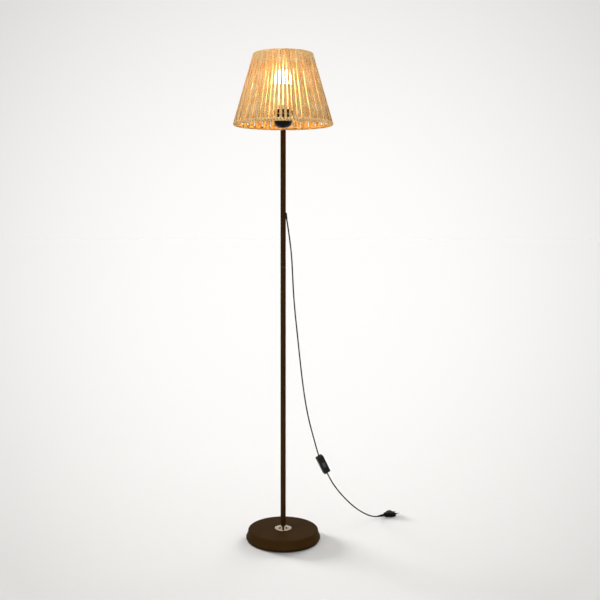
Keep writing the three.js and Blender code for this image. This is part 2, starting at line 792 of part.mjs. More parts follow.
// The switch is built level in a group of its own, which is then leaned and turned
function switchGroup() {
  const leaned = new THREE.Group();
  const u = inCordPlane([Math.cos(switchLean), -Math.sin(switchLean)]).normalize();
  const w = new THREE.Vector3(Math.sin(swing), -Math.cos(swing), 0).applyAxisAngle(u, switchTwist);
  const v = w.clone().cross(u);
  leaned.quaternion.setFromRotationMatrix(new THREE.Matrix4().makeBasis(u, v, w));
  leaned.position.copy(inCordPlane(upperCordRoute[upperCordRoute.length - 1]));
  leaned.position.addScaledVector(u, seatGap + switchLength / 2);
  group.add(leaned);
  return leaned;
}

// A rounded rectangle of the switch, set in by the inset
function switchOutline(inset) {
  const halfU = switchLength / 2 - inset;
  const halfV = switchWidth / 2 - inset;
  const corner = switchCorner - inset;
  const shape = new THREE.Shape();
  shape.moveTo(-halfU + corner, -halfV);
  shape.lineTo(halfU - corner, -halfV);
  shape.absarc(halfU - corner, -halfV + corner, corner, -Math.PI / 2, 0);
  shape.absarc(halfU - corner, halfV - corner, corner, 0, Math.PI / 2);
  shape.absarc(-halfU + corner, halfV - corner, corner, Math.PI / 2, Math.PI);
  shape.absarc(-halfU + corner, -halfV + corner, corner, Math.PI, Math.PI * 3 / 2);
  return shape;
}

function slab(shape, bottom, top, bevel = 0) {
  const geometry = new THREE.ExtrudeGeometry(shape, {
    depth: top - bottom - bevel,
    steps: 1,
    curveSegments: 2,
    bevelEnabled: bevel > 0,
    bevelThickness: bevel,
    bevelSize: bevel,
    bevelOffset: -bevel,
    bevelSegments: 1,
  });
  geometry.translate(0, 0, bottom);
  return geometry;
}

// One half of the switch's case, open at the split; the far side has a bevelled edge
function caseHalf() {
  const half = switchDepth / 2;
  const bottom = seatGap / 2;
  const block = slab(switchOutline(0), -half, half, switchBevel);
  const below = new THREE.BoxGeometry(switchLength + cutOverrun, switchWidth + cutOverrun, switchDepth);
  below.translate(0, 0, bottom - half);
  const hollow = slab(switchOutline(switchWall), -half, half - switchWall);
  return { block: cut(block, below), hollow };
}

function makeCase(parent) {
  const { block, hollow } = caseHalf();
  const half = switchDepth / 2;
  const windowReach = 2 * (rockerRadius + seatGap);
  const opening = new THREE.BoxGeometry(windowReach, rockerWidth + 2 * rockerSideGap, switchDepth);
  opening.translate(0, 0, half);
  const bosses = [1, -1].map((side) => {
    const boss = rod(bossRadius, seatGap, half - switchWall / 2, hiddenSides);
    boss.translate(side * screwU, -side * screwV, 0);
    return boss;
  });
  const holes = [1, -1].map((side) => {
    const hole = rod(screwRadius + seatGap / 2, -half, half - switchWall - seatGap, hiddenSides);
    hole.translate(side * screwU, -side * screwV, 0);
    return hole;
  });
  add('switch_front', cut(join(cut(block, hollow, opening), ...bosses), ...holes), blackPlastic, parent);
  const back = join(cut(block, hollow), ...bosses);
  back.rotateX(Math.PI);
  const sinks = [1, -1].map((side) => {
    const sink = lathe([
      [0, -half - cutOverrun],
      [screwHeadRadius + seatGap, -half - cutOverrun],
      [screwHeadRadius + seatGap, screwSeat()],
      [screwRadius + seatGap, screwSeat()],
      [screwRadius + seatGap, half],
      [0, half],
    ], hiddenSides);
    sink.translate(side * screwU, -side * screwV, 0);
    return sink;
  });
  add('switch_back', cut(mirroredBosses(back), ...sinks), blackPlastic, parent);
}

// The turned half has its bosses on the other diagonal, so it is mirrored back across the split
function mirroredBosses(geometry) {
  geometry.scale(1, -1, 1);
  const index = Array.from(geometry.index.array).reverse();
  geometry.setIndex(index);
  return geometry;
}

// Height at which the head of a case screw sits, below the split
function screwSeat() {
  return -switchDepth / 2 + switchBevel + screwHeadHeight;
}

function makeCaseScrews(parent) {
  [1, -1].forEach((side, i) => {
    const headBottom = screwSeat() - seatGap - screwHeadHeight;
    const screw = lathe([
      [0, headBottom],
      [screwHeadRadius, headBottom],
      [screwHeadRadius, headBottom + screwHeadHeight],
      [screwRadius, headBottom + screwHeadHeight],
      [screwRadius, headBottom + screwHeadHeight + screwLength],
      [0, headBottom + screwHeadHeight + screwLength],
    ], hiddenSides);
    screw.translate(side * screwU, -side * screwV, 0);
    add(`case_screw_${i + 1}`, screw, plainSteel, parent);
  });
}

// Turns an outline in the u-w plane into a solid that is as wide as given along v
function acrossSlab(points, width) {
  const shape = new THREE.Shape(points.map(([u, w]) => new THREE.Vector2(u, w)));
  const geometry = new THREE.ExtrudeGeometry(shape, { depth: width, steps: 1, bevelEnabled: false });
  geometry.translate(0, 0, -width / 2);
  geometry.rotateX(Math.PI / 2);
  return geometry;
}

function makeRocker(parent) {
  const pinHeight = switchDepth / 2 - rockerPinDrop;
  const lowAngle = Math.asin(rockerUnderside / rockerRadius);
  const right = arc(0, 0, rockerRadius, rockerRadius, -lowAngle, rockerTopAngle, 4);
  const left = right.map(([u, w]) => [-u, w]).reverse();
  const noseReach = pinHeight + plateDrop - plateThickness / 2 - 2 * seatGap;
  const noseHalf = rockerNoseWidth / 2;
  const nose = [
    [-noseHalf, -rockerUnderside],
    [-noseHalf, -noseReach],
    [noseHalf, -noseReach],
    [noseHalf, -rockerUnderside],
  ];
  const body = acrossSlab([...right, [0, rockerValley], ...left, ...nose], rockerWidth);
  const bore = new THREE.CylinderGeometry(
    rockerPinRadius + seatGap, rockerPinRadius + seatGap, rockerWidth + cutOverrun, hiddenSides,
  );
  const rocker = cut(weld(body), weld(bore));
  rocker.rotateY(-rockerRest);
  rocker.translate(0, 0, pinHeight);
  add('rocker', rocker, blackPlastic, parent);
  const inside = switchWidth - 2 * switchWall - 2 * seatGap;
  const pin = new THREE.CylinderGeometry(rockerPinRadius, rockerPinRadius, inside, hiddenSides);
  pin.translate(0, 0, pinHeight);
  add('rocker_pin', weld(pin), plainSteel, parent);
}

// See-saw contact under the rocker, and the two terminals that it joins when the lamp is on: it tips
// against the rocker
function makeContacts(parent) {
  const plate = new THREE.BoxGeometry(plateLength, plateWidth, plateThickness);
  plate.rotateY(plateRest);
  plate.translate(0, 0, -plateDrop);
  add('contact_plate', weld(plate), brass, parent);
  const stripBottom = -stripDrop - stripThickness;
  const blockStart = terminalEnd - terminalLength;
  const blockTop = stripBottom + terminalHeight;
  const postTop = -plateDrop - plateThickness / 2 - seatGap;
  const postHalf = postWidth / 4;
  const post = [
    [-terminalEnd, stripBottom], [postHalf, stripBottom], [postHalf, postTop], [-postHalf, postTop],
    [-postHalf, -stripDrop], [-blockStart, -stripDrop], [-blockStart, blockTop], [-terminalEnd, blockTop],
  ];
  add('terminal_upper', weld(acrossSlab(post, postWidth)), brass, parent);
  const reach = (plateLength / 2) * Math.cos(plateRest);
  const lowEnd = -plateDrop - (plateLength / 2) * Math.sin(plateRest) - plateThickness / 2;
  const studTop = lowEnd - seatGap;
  const lower = [
    [reach - contactStud, stripBottom], [terminalEnd, stripBottom], [terminalEnd, blockTop],
    [blockStart, blockTop], [blockStart, -stripDrop], [reach, -stripDrop], [reach, studTop],
    [reach - contactStud, studTop],
  ];
  add('terminal_lower', weld(acrossSlab(lower, postWidth)), brass, parent);
}

function makeSwitch() {
  const leaned = switchGroup();
  makeCase(leaned);
  makeCaseScrews(leaned);
  makeRocker(leaned);
  makeContacts(leaned);
}

function makePlug() {
  const plug = new THREE.Group();
  plug.position.copy(inCordPlane(lowerCordRoute[lowerCordRoute.length - 1]));
  plug.rotation.z = swing;
  group.add(plug);
  const relief = new THREE.CylinderGeometry(reliefRadius, reliefTipRadius, reliefLength, smallSides);
  relief.rotateZ(-Math.PI / 2);
  relief.translate(seatGap + reliefLength / 2, 0, 0);
  add('plug_relief', weld(relief), blackPlastic, plug);
  const start = 2 * seatGap + reliefLength;
  const shoulder = plugLength * (1 - plugShoulderShare);
  const outline = [
    [0, -plugNeckWidth / 2], [shoulder, -plugWidth / 2], [plugLength, -plugWidth / 2],
    [plugLength, plugWidth / 2], [shoulder, plugWidth / 2], [0, plugNeckWidth / 2],
  ];
  const shape = new THREE.Shape(outline.map(([x, y]) => new THREE.Vector2(x, y)));
  const body = new THREE.ExtrudeGeometry(shape, {
    depth: plugThickness - 2 * plugBevel,
    steps: 1,
    bevelThickness: plugBevel,
    bevelSize: plugBevel,
    bevelOffset: -plugBevel,
    bevelSegments: 2,
  });
  body.translate(start, 0, plugBevel - plugThickness / 2);
  const end = start + plugLength;
  const pins = [-1, 1].map((side) => {
    const y = (side * pinSpacing) / 2;
    const from = new THREE.Vector3(end - pinDepth + seatGap, y, 0);
    return { from, to: new THREE.Vector3(end + pinLength, y, 0) };
  });
  const sockets = pins.map(({ from, to }) => {
    const deeper = from.clone();
    deeper.x -= seatGap;
    return bar(deeper, to, pinRadius + seatGap, hiddenSides);
  });
  add('plug_body', cut(weld(body), ...sockets), blackPlastic, plug);
  pins.forEach(({ from, to }, i) => {
    add(`plug_pin_${i + 1}`, bar(from, to, pinRadius, hiddenSides), plainSteel, plug);
  });
}

makeBase();
makeRosette();
makePole();
makeOutlet();
makeNeck();
makeHolder();
makeRingNut();
makeBulb();
makeShadeFrame();
makeRopes();
makeCords();
makeSwitch();
makePlug();

export default group;
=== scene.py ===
"""Looks of a floor lamp with a rope-wound shade. Metres, +Z up, the front of the lamp looks along -Y."""

import json
import math

import bmesh
import bpy
import numpy as np
from mathutils import Matrix, Vector


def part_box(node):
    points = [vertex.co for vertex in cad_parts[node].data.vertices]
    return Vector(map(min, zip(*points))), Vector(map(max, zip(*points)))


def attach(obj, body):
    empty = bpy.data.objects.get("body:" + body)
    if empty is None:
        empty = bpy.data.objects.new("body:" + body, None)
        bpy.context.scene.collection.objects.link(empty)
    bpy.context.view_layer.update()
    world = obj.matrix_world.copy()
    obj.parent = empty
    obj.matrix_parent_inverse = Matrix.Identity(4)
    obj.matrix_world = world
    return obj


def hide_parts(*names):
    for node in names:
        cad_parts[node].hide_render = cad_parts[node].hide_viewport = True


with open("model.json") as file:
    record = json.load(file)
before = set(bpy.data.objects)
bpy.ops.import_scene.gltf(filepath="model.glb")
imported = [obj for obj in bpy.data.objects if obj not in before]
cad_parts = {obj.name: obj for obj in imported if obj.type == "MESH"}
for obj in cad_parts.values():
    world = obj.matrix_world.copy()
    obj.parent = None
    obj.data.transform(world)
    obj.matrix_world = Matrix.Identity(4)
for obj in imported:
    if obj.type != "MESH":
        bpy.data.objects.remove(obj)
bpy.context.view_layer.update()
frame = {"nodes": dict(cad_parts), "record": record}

MM = 0.001
TURN = 2 * math.pi

# Camera, as it stood for the photograph
PHOTO_WIDTH = 600
FOCAL_PIXELS = 869.09
AXIS_LEFT_OF_MIDDLE_PIXELS = 16.84
SENSOR_WIDTH = 36.0
CAMERA_BACK = 2.6597
CAMERA_HEIGHT = 1.0299
CAMERA_TILT = math.radians(5.802)

# Lead: it hangs in an upright plane, turned back from +X; points are (reach, height) in millimetres
SWING = math.radians(30)
CORD_RADIUS = 2.1 * MM
UPPER_CORD_ROUTE = [
    (12.35, 1008.0), (15.2, 992.5), (18.4, 974.5), (22.0, 952.5), (25.5, 929.5), (28.6, 904.5),
    (31.3, 874.5), (33.5, 840.0), (35.7, 800.0), (39.3, 752.0), (44.2, 706.0), (49.8, 660.0),
    (55.9, 610.0), (63.2, 550.0), (70.8, 495.0), (79.7, 440.0), (90.2, 390.0), (102.2, 345.0),
    (116.0, 300.0), (124.3, 273.0), (129.4, 257.6), (132.66, 248.8),
]
LOWER_CORD_ROUTE = [
    (163.1, 191.35), (168.6, 181.0), (175.5, 168.7), (183.6, 155.4), (194.6, 139.4), (209.0, 121.2),
    (226.2, 101.8), (243.5, 83.7), (261.3, 66.6), (279.0, 51.6), (296.2, 38.8), (311.5, 28.8),
    (325.7, 20.6), (338.0, 14.7), (350.0, 10.3), (360.0, 8.0), (367.0, 7.15), (370.0, 7.0),
]
CORD_STEPS = 6  # straight steps between two points of a route
SEAT_GAP = 0.3 * MM

# Outlet on the pole
OUTLET_LEAN = math.radians(10.4)
OUTLET_LENGTH = 20 * MM
OUTLET_MOUTH_RADIUS = 2.9 * MM
OUTLET_TOP_RADIUS = 3.5 * MM
OUTLET_RIBS = 5
OUTLET_RIBBED_SHARE = 0.72
OUTLET_GROOVE = 0.45 * MM

# Switch: u along the lead, v across, w out of the face
SWITCH_LENGTH = 64 * MM
SWITCH_WIDTH = 23 * MM
SWITCH_DEPTH = 18 * MM
SWITCH_CORNER = 3.5 * MM
SWITCH_EDGE = 2.2 * MM
SWITCH_WALL = 1.7 * MM
SWITCH_SPLIT = 0.25 * MM
SWITCH_LEAN = math.radians(62.1)
SWITCH_TWIST = math.radians(8)
ROCKER_RADIUS = 9.8 * MM
ROCKER_WIDTH = 10 * MM
ROCKER_PIN_DROP = 4 * MM
ROCKER_VALLEY = 3.6 * MM
ROCKER_UNDERSIDE = 2.5 * MM
ROCKER_TOP_ANGLE = math.radians(35)
ROCKER_REST = math.radians(8)
ROCKER_EDGE = 0.4 * MM
ROCKER_SIDE_GAP = 0.5 * MM
ROCKER_ARC_GAP = 0.3 * MM
WINDOW_CORNER = 0.8 * MM
WINDOW_LIP = 0.35 * MM
SCREW_PLACE = (27 * MM, 7 * MM)
SCREW_RECESS_RADIUS = 2.8 * MM
SCREW_RECESS_DEPTH = 2.8 * MM

# Plug
PLUG_LENGTH = 36 * MM
PLUG_WIDTH = 35 * MM
PLUG_THICKNESS = 14 * MM
PLUG_NECK_WIDTH = 13 * MM
PLUG_EDGE = 3.5 * MM
PIN_RADIUS = 2 * MM
PIN_EDGE = 0.9 * MM
PIN_ROOT = 4 * MM
PIN_SPACING = 18.6 * MM
PIN_LENGTH = 19 * MM
PIN_SLEEVE_SHARE = 0.5
PIN_SLEEVE_RADIUS = PIN_RADIUS * 1.02
RELIEF_LENGTH = 26 * MM
RELIEF_RADIUS = 5 * MM
RELIEF_TIP_RADIUS = 3 * MM
RELIEF_RIBS = 6
RELIEF_GROOVE = 0.7 * MM
RELIEF_EDGE = 0.5 * MM
RELIEF_OVERLAP = 2 * MM

# Base, pole and lampholder
PAD_HOLE = 18 * MM
STUD_BORE = 5.3 * MM
NIPPLE_BORE = 5.2 * MM
POLE_BORE_SHARE = 0.88
HOLDER_RADIUS = 19.5 * MM
HOLDER_SHOULDER = (16.2 * MM, 20.2 * MM)  # heights above the holder's foot

# Rosette: it climbs a little way up the pole, and has four dark screws in holes, as painted reflections
ROSETTE_CLIMB = 4.2 * MM
ROSETTE_STEPS = 16
ROSETTE_HOLE_ACROSS = 10.2 * MM
ROSETTE_HOLE_ALONG = 13.6 * MM
ROSETTE_HOLE_RADIUS = 3.3 * MM
ROSETTE_SCREW_RADIUS = 3.1 * MM

# Shade: the loops of its rope, and the wires behind them
LOOPS = 33
LOOP_ANGLE = TURN / LOOPS
FRONT_STRAND = -math.pi / 2 + LOOP_ANGLE / 4
OPEN_SHARE = 0.83  # where in a loop a slit is
WIRE_RADIUS = 1.7 * MM
WIRE_INSET = WIRE_RADIUS * 0.8
RIBS = 6
RIB_RADIUS = 1.2 * MM
SPOKES = 3
SPOKE_RADIUS = 1.5 * MM
FIRST_SPOKE_LOOP = 3
FITTER_BORE = 20.3 * MM

# Rope
ROPES = 3
ROPE_WIDTH = 8.7 * MM
ROPE_THICKNESS = 3 * MM
WIRE_TO_ROPE = 0.6 * MM
BOTTOM_TURNS = 1.5
PLAIT_PITCH = 24 * MM
PLAIT_STEP = 1.5 * MM
YARN_HALF_WIDTH = 1.95 * MM
YARN_HALF_THICKNESS = 1.05 * MM
YARNS = 3
YARN_SIDES = 6
YARN_CREST_SHARE = 0.85  # of its half thickness, how much lies inside the rope's at a crest
FIBRE_LAY = 11 * MM
# Painted shade: the lifts where the shade painted into the valleys between yarns is darkest and where it ends
PAINTED_SHADE_LIFTS = (0.15, 0.6)  # lift of a yarn's surface where it is darkest and where it is plain
# Painted light: the paler bottom rim
RIM_PAINTED_LIGHT = (4 * MM, 11 * MM)  # heights above the bottom ring where the paler rim ends
# Painted shade: the deeper colour on the inner wall near the mouth
MOUTH_PAINTED_SHADE = (22 * MM, 45 * MM)  # heights above it where the deeper colour inside ends
ROPE_WIDER_AT_TOP = 1.1
ROPE_WIDER_IN_FRONT = 1.04
ROPE_WIDER_ASIDE = 1.44
ROPE_WIDER_BEHIND = 1.56
TOP_BAND = 40 * MM
FRONT_HALF_ANGLE = math.radians(10)
ASIDE_HALF_ANGLE = math.radians(42)
BACK_HALF_ANGLE = math.radians(110)
INNER_BOW = 6.3 * MM  # how far an inner strand bows out, into the gap between its outer neighbours
BOW_LOW_SHARE = 0.08
BOW_HIGH_SHARE = 0.16
COVER_LENGTH = 45 * MM  # the part of an inner strand that also runs outside the top ring
COVER_START_DEPTH = 2.8 * MM
STRAND_STRAY = 0.014  # how far a strand strays sideways, in loops
PATH_SMOOTHING = 3  # steps on each side of a place that its average takes in
WIDTH_SMOOTHING = 6

# Meshes
ROUND = 96  # segments of a large round piece
SMALL_ROUND = 48
SHARP_ANGLE = math.radians(35)

# Stage
# A painted pool of light: palest straight ahead, greyer towards the sides
BACKDROP = [  # (cosine of the angle from the brightest part, colour)
    (0.905, (0.730, 0.723, 0.708)),
    (0.976, (0.948, 0.940, 0.923)),
    (0.989, (0.985, 0.976, 0.959)),
    (1.0, (1.0, 0.991, 0.974)),
]
GLOW_DIRECTION = (0.017, 1.0, -0.0866)  # towards the brightest part of the backdrop
FLOOR_SIZE = 60.0
FLOOR_DROP = 0.1 * MM
SUNS = [  # (name, what it lights, turn of its beam from +Y, height, angle across, share), in degrees
    ("key", "lamp", -38, 56, 50, 0.32),
    ("top", "lamp", 20, 66, 60, 0.22),
    ("low_right", "floor", -128, 12, 20, 0.33),
    ("low_left", "floor", 145, 24, 34, 0.22),
]

scene = bpy.context.scene
rng = np.random.default_rng(7)
STRAY = rng.normal(0, STRAND_STRAY, 2 * LOOPS)


# Building blocks for meshes

def smooth_over(mesh, sharp=SHARP_ANGLE):
    """Shades a mesh smooth apart from its sharp edges."""
    mesh.polygons.foreach_set("use_smooth", [True] * len(mesh.polygons))
    mesh.set_sharp_from_angle(angle=sharp)


def make_piece(name, vertices, faces, sharp=SHARP_ANGLE):
    """A mesh object with its faces turned outwards."""
    mesh = bpy.data.meshes.new(name)
    mesh.from_pydata([tuple(v) for v in vertices], [], [tuple(f) for f in faces])
    work = bmesh.new()
    work.from_mesh(mesh)
    bmesh.ops.recalc_face_normals(work, faces=work.faces)
    work.to_mesh(mesh)
    work.free()
    smooth_over(mesh, sharp)
    piece = bpy.data.objects.new(name, mesh)
    scene.collection.objects.link(piece)
    return piece


def place(piece, body, slot, *nodes, material=None):
    """Gives a piece its finish and its body, and lets it stand for CAD nodes."""
    piece.data.materials.clear()
    piece.data.materials.append(material or materials[slot])
    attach(piece, body)
    if nodes:
        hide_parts(*nodes)
    return piece


def arc(centre, radius, first, last, steps):
    """Points of an arc or of a quarter ellipse, with angles in degrees; radius is one size or two."""
    across, up = radius if isinstance(radius, tuple) else (radius, radius)
    angles = [math.radians(first + (last - first) * i / steps) for i in range(steps + 1)]
    return [(centre[0] + across * math.cos(a), centre[1] + up * math.sin(a)) for a in angles]


def quarter(steps):
    return [math.pi / 2 * i / steps for i in range(steps + 1)]


def revolve(name, profile, segments=ROUND, warp=None):
    """Turns a closed outline of (radius, height) points about Z."""
    vertices, rows = [], []
    for radius, height in profile:
        on_axis = radius < MM / 100
        row = []
        for k in range(1 if on_axis else segments):
            angle = TURN * k / segments
            r, z = warp(radius, height, angle) if warp else (radius, height)
            row.append(len(vertices))
            vertices.append((0, 0, z) if on_axis else (r * math.cos(angle), r * math.sin(angle), z))
        rows.append(row)
    faces = []
    for low, high in zip(rows, rows[1:] + rows[:1]):
        for k in range(segments):
            corners = [low[k % len(low)], low[(k + 1) % len(low)]]
            corners += [high[(k + 1) % len(high)], high[k % len(high)]]
            face = list(dict.fromkeys(corners))
            if len(face) > 2:
                faces.append(face)
    return make_piece(name, vertices, faces)


def loft(name, rings, loop=False, turn=None):
    """Joins rings of equally many points into a skin: a loop closes on itself, the others get end faces."""
    count = len(rings[0])
    vertices = [Vector(p) for ring in rings for p in ring]
    if turn:
        vertices = [turn @ v for v in vertices]
    faces = []
    for i in range(len(rings) if loop else len(rings) - 1):
        a, b = i * count, ((i + 1) % len(rings)) * count
        faces += [(a + k, a + (k + 1) % count, b + (k + 1) % count, b + k) for k in range(count)]
    if not loop:
        last = (len(rings) - 1) * count
        faces += [tuple(range(count)), tuple(range(last, last + count))]
    return make_piece(name, vertices, faces)


def frame_at(origin, x_axis, z_axis):
    """The matrix of a local frame with these two axes."""
    x = Vector(x_axis).normalized()
    z = Vector(z_axis).normalized()
    made = Matrix((x, z.cross(x), z)).transposed().to_4x4()
    made.translation = origin
    return made


def turned_bar(name, start, end, stations, sides=24):
    """A round bar from one point towards another, with (place along it, radius) stations."""
    start = Vector(start)
    along = Vector(end) - start
    side = Vector((0, 0, 1)) if abs(along.normalized().z) < 0.9 else Vector((0, 1, 0))
    angles = [TURN * k / sides for k in range(sides)]
    rings = [[(x, r * math.cos(a), r * math.sin(a)) for a in angles] for x, r in stations]
    return loft(name, rings, turn=frame_at(start, along, along.cross(side).cross(along)))


def plain_bar(name, start, end, radius, sides=24):
    length = (Vector(end) - Vector(start)).length
    return turned_bar(name, start, end, [(0, radius), (length, radius)], sides)


def round_ended(length, radius, edge):
    """Stations of a bar whose ends have a small round edge."""
    low = [(edge - edge * math.cos(a), radius - edge + edge * math.sin(a)) for a in quarter(3)]
    return low + [(length - x, r) for x, r in reversed(low)]


def ribbed(start, end, first_radius, last_radius, ribs, depth):
    """Stations of a tapered sleeve with grooves between its ribs."""
    stations = []
    steps = 8 * ribs
    for i in range(1, steps + 1):
        share = i / steps
        groove = depth * (0.5 - 0.5 * math.cos(TURN * share * ribs)) ** 2
        radius = first_radius + (last_radius - first_radius) * share
        stations.append((start + (end - start) * share, radius - groove))
    return stations


def rounded_rectangle(half_u, half_v, corner, steps=5):
    """Points of a rectangle with round corners, anticlockwise from the lower right corner."""
    corner = min(max(corner, MM / 20), half_u, half_v)
    points = []
    for k, (su, sv) in enumerate([(1, -1), (1, 1), (-1, 1), (-1, -1)]):
        points += arc((su * (half_u - corner), sv * (half_v - corner)), corner, 90 * k - 90, 90 * k, steps)
    return points


def inset_outline(points, inset):
    """Moves each point of an anticlockwise outline inwards, square to the outline."""
    moved = []
    for i, point in enumerate(points):
        before, after = Vector(points[i - 1]), Vector(points[(i + 1) % len(points)])
        along = (after - before).normalized()
        moved.append((point[0] - along.y * inset, point[1] + along.x * inset))
    return moved


def slab_layers(outline, thickness, edge, steps):
    """(Outline, height) layers of a flat piece with round edges, from one face to the other."""
    layers = []
    for angle in quarter(steps):
        points = inset_outline(outline, edge * (1 - math.sin(angle)))
        layers.append((points, -thickness / 2 + edge * (1 - math.cos(angle))))
    return layers + [(points, -height) for points, height in reversed(layers)]


def carve(piece, cutters):
    """Cuts other pieces out of one, and removes them."""
    for cutter in cutters:
        modifier = piece.modifiers.new("carve", "BOOLEAN")
        modifier.operation = "DIFFERENCE"
        modifier.solver = "EXACT"
        modifier.object = cutter
    bpy.context.view_layer.update()
    graph = bpy.context.evaluated_depsgraph_get()
    mesh = bpy.data.meshes.new_from_object(piece.evaluated_get(graph))
    piece.modifiers.clear()
    piece.data = mesh
    smooth_over(mesh)
    for cutter in cutters:
        bpy.data.objects.remove(cutter)


def node_size(node):
    """Radius, low and top of a CAD node that is centred on the pole's axis."""
    low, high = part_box(node)
    return max(high.x, high.y), low.z, high.z


def washer(name, node, bore, edge, steps=4, segments=ROUND):
    """A piece as large as its node, with a plain bore and round outer edges."""
    radius, low, top = node_size(node)
    return revolve(name, [
        (bore, low), *arc((radius - edge, low + edge), edge, -90, 0, steps),
        *arc((radius - edge, top - edge), edge, 0, 90, steps), (bore, top),
    ], segments)


# Materials

class Nodes:
    """A node tree that is built from nothing."""

    def __init__(self, owner):
        owner.use_nodes = True
        self.tree = owner.node_tree
        self.tree.nodes.clear()

    def node(self, kind, inputs=None, **properties):
        made = self.tree.nodes.new(kind)
        for key, value in properties.items():
            setattr(made, key, value)
        for key, value in (inputs or {}).items():
            self.set(made, key, value)
        return made

    def set(self, node, key, value):
        """Links an input to a socket, or gives it a value."""
        if isinstance(value, bpy.types.NodeSocket):
            self.tree.links.new(value, node.inputs[key])
        else:
            node.inputs[key].default_value = value

    def math(self, operation, first, second):
        return self.node("ShaderNodeMath", {0: first, 1: second}, operation=operation).outputs["Value"]

    def vector(self, operation, inputs, output="Vector"):
        return self.node("ShaderNodeVectorMath", inputs, operation=operation).outputs[output]

    def mapped(self, value, low, high, start=0.0, end=1.0):
        """Spreads a value between a start and an end over a range, from low to high."""
        inputs = {"Value": value, "From Min": start, "From Max": end, "To Min": low, "To Max": high}
        return self.node("ShaderNodeMapRange", inputs).outputs["Result"]

    def ramp(self, factor, stops):
        """A colour ramp through (place, colour) stops."""
        made = self.node("ShaderNodeValToRGB", {"Fac": factor})
        elements = made.color_ramp.elements
        while len(elements) < len(stops):
            elements.new(0.5)
        for element, (at, colour) in zip(elements, stops):
            element.position = at
            element.color = (*colour, 1.0)
        return made.outputs["Color"]

    def backdrop(self, direction):
        """A painted pool of light: a colour that is pale straight ahead and greyer towards the sides, from a
        direction in space.
        """
        towards = Vector(GLOW_DIRECTION).normalized()
        return self.ramp(self.vector("DOT_PRODUCT", {0: direction, 1: towards}, "Value"), BACKDROP)


class Shader(Nodes):
    """A material with one principled surface."""

    def __init__(self, name, settings=None):
        self.material = bpy.data.materials.new(name)
        super().__init__(self.material)
        self.surface = self.node("ShaderNodeBsdfPrincipled", settings)
        self.output = self.node("ShaderNodeOutputMaterial", {"Surface": self.surface.outputs["BSDF"]})

    def wear(self, key, value):
        self.set(self.surface, key, value)

    def tint(self, factor, dark, light, places=(0.3, 0.7)):
        self.wear("Base Color", self.ramp(factor, list(zip(places, (dark, light)))))

    def roughen(self, factor, low, high):
        self.wear("Roughness", self.mapped(factor, low, high))

    def bump(self, height, strength, distance):
        inputs = {"Height": height, "Strength": strength, "Distance": distance}
        self.wear("Normal", self.node("ShaderNodeBump", inputs).outputs["Normal"])

    def place(self):
        return self.node("ShaderNodeTexCoord").outputs["Object"]

    def height(self):
        return self.node("ShaderNodeSeparateXYZ", {0: self.place()}).outputs["Z"]

    def noise(self, scale, detail=3.0, place=None, roughness=0.5):
        inputs = {"Vector": place or self.place(), "Scale": scale, "Detail": detail, "Roughness": roughness}
        return self.node("ShaderNodeTexNoise", inputs).outputs["Fac"]

    def let_light_through(self, share, colour):
        """Mixes in light that comes through from behind."""
        through = self.node("ShaderNodeBsdfTranslucent", {"Color": colour}).outputs["BSDF"]
        mixed = self.node("ShaderNodeMixShader", {0: share, 1: self.surface.outputs["BSDF"], 2: through})
        self.set(self.output, "Surface", mixed.outputs["Shader"])

    def painted_shade_inside(self, colour, height, low, high, tint):
        """Painted shade: tints the faces that look towards the lamp's axis darker, fully under one height and
        not above another.
        """
        geometry = self.node("ShaderNodeNewGeometry").outputs
        across = self.vector("MULTIPLY", {0: geometry["Position"], 1: (1, 1, 0)})
        outward = self.vector("NORMALIZE", {0: across})
        facing = self.vector("DOT_PRODUCT", {0: geometry["Normal"], 1: outward}, "Value")
        inside = self.mapped(facing, 1.0, 0.0, -0.2, 0.2)
        share = self.math("MULTIPLY", inside, self.mapped(height, 1.0, 0.0, low, high))
        tinted = self.vector("MULTIPLY", {0: colour, 1: tint})
        return self.node("ShaderNodeMix", {0: share, 6: colour, 7: tinted}, data_type="RGBA").outputs[2]


def shades(colour, dark, light):
    """A darker and a lighter shade of one colour."""
    return [tuple(c * factor for c in colour) for factor in (dark, light)]


def bronze_paint():
    paint = Shader("bronze_paint", {"Specular IOR Level": 0.02})
    paint.tint(paint.noise(14.0, 4.0), *shades((0.036, 0.0172, 0.0038), 0.86, 1.12))
    paint.roughen(paint.noise(60.0), 0.5, 0.62)
    paint.bump(paint.noise(1600.0, 2.0), 0.12, 0.2 * MM)
    return paint.material


def polished_metal():
    metal = Shader("polished_metal", {"Metallic": 1.0})
    metal.tint(metal.noise(90.0, 5.0), (0.49, 0.40, 0.30), (0.57, 0.48, 0.37), (0.35, 0.65))
    metal.roughen(metal.noise(400.0, 4.0), 0.03, 0.09)
    return metal.material


def moulded_plastic(name, colour, roughness, gloss=0.5, grain_scale=1400.0, grain_strength=0.1):
    plastic = Shader(name, {"Specular IOR Level": gloss})
    plastic.tint(plastic.noise(35.0), *shades(colour, 0.88, 1.12))
    plastic.roughen(plastic.noise(120.0, 4.0), roughness - 0.05, roughness + 0.06)
    plastic.bump(plastic.noise(grain_scale, 2.0), grain_strength, 0.15 * MM)
    return plastic.material


def brushed_metal(name, colour, roughness):
    metal = Shader(name, {"Metallic": 1.0})
    squeezed = metal.node("ShaderNodeMapping", {"Vector": metal.place(), "Scale": (1.0, 1.0, 14.0)})
    streaks = metal.noise(160.0, 4.0, squeezed.outputs["Vector"])
    metal.tint(streaks, *shades(colour, 0.8, 1.1))
    metal.roughen(streaks, roughness - 0.08, roughness + 0.08)
    metal.bump(streaks, 0.08, 0.05 * MM)
    return metal.material


def cast_iron():
    iron = Shader("cast_iron", {"Metallic": 0.6})
    skin = iron.noise(220.0, 6.0)
    iron.tint(skin, (0.05, 0.05, 0.052), (0.09, 0.088, 0.085))
    iron.roughen(skin, 0.6, 0.8)
    iron.bump(skin, 0.5, 0.4 * MM)
    return iron.material


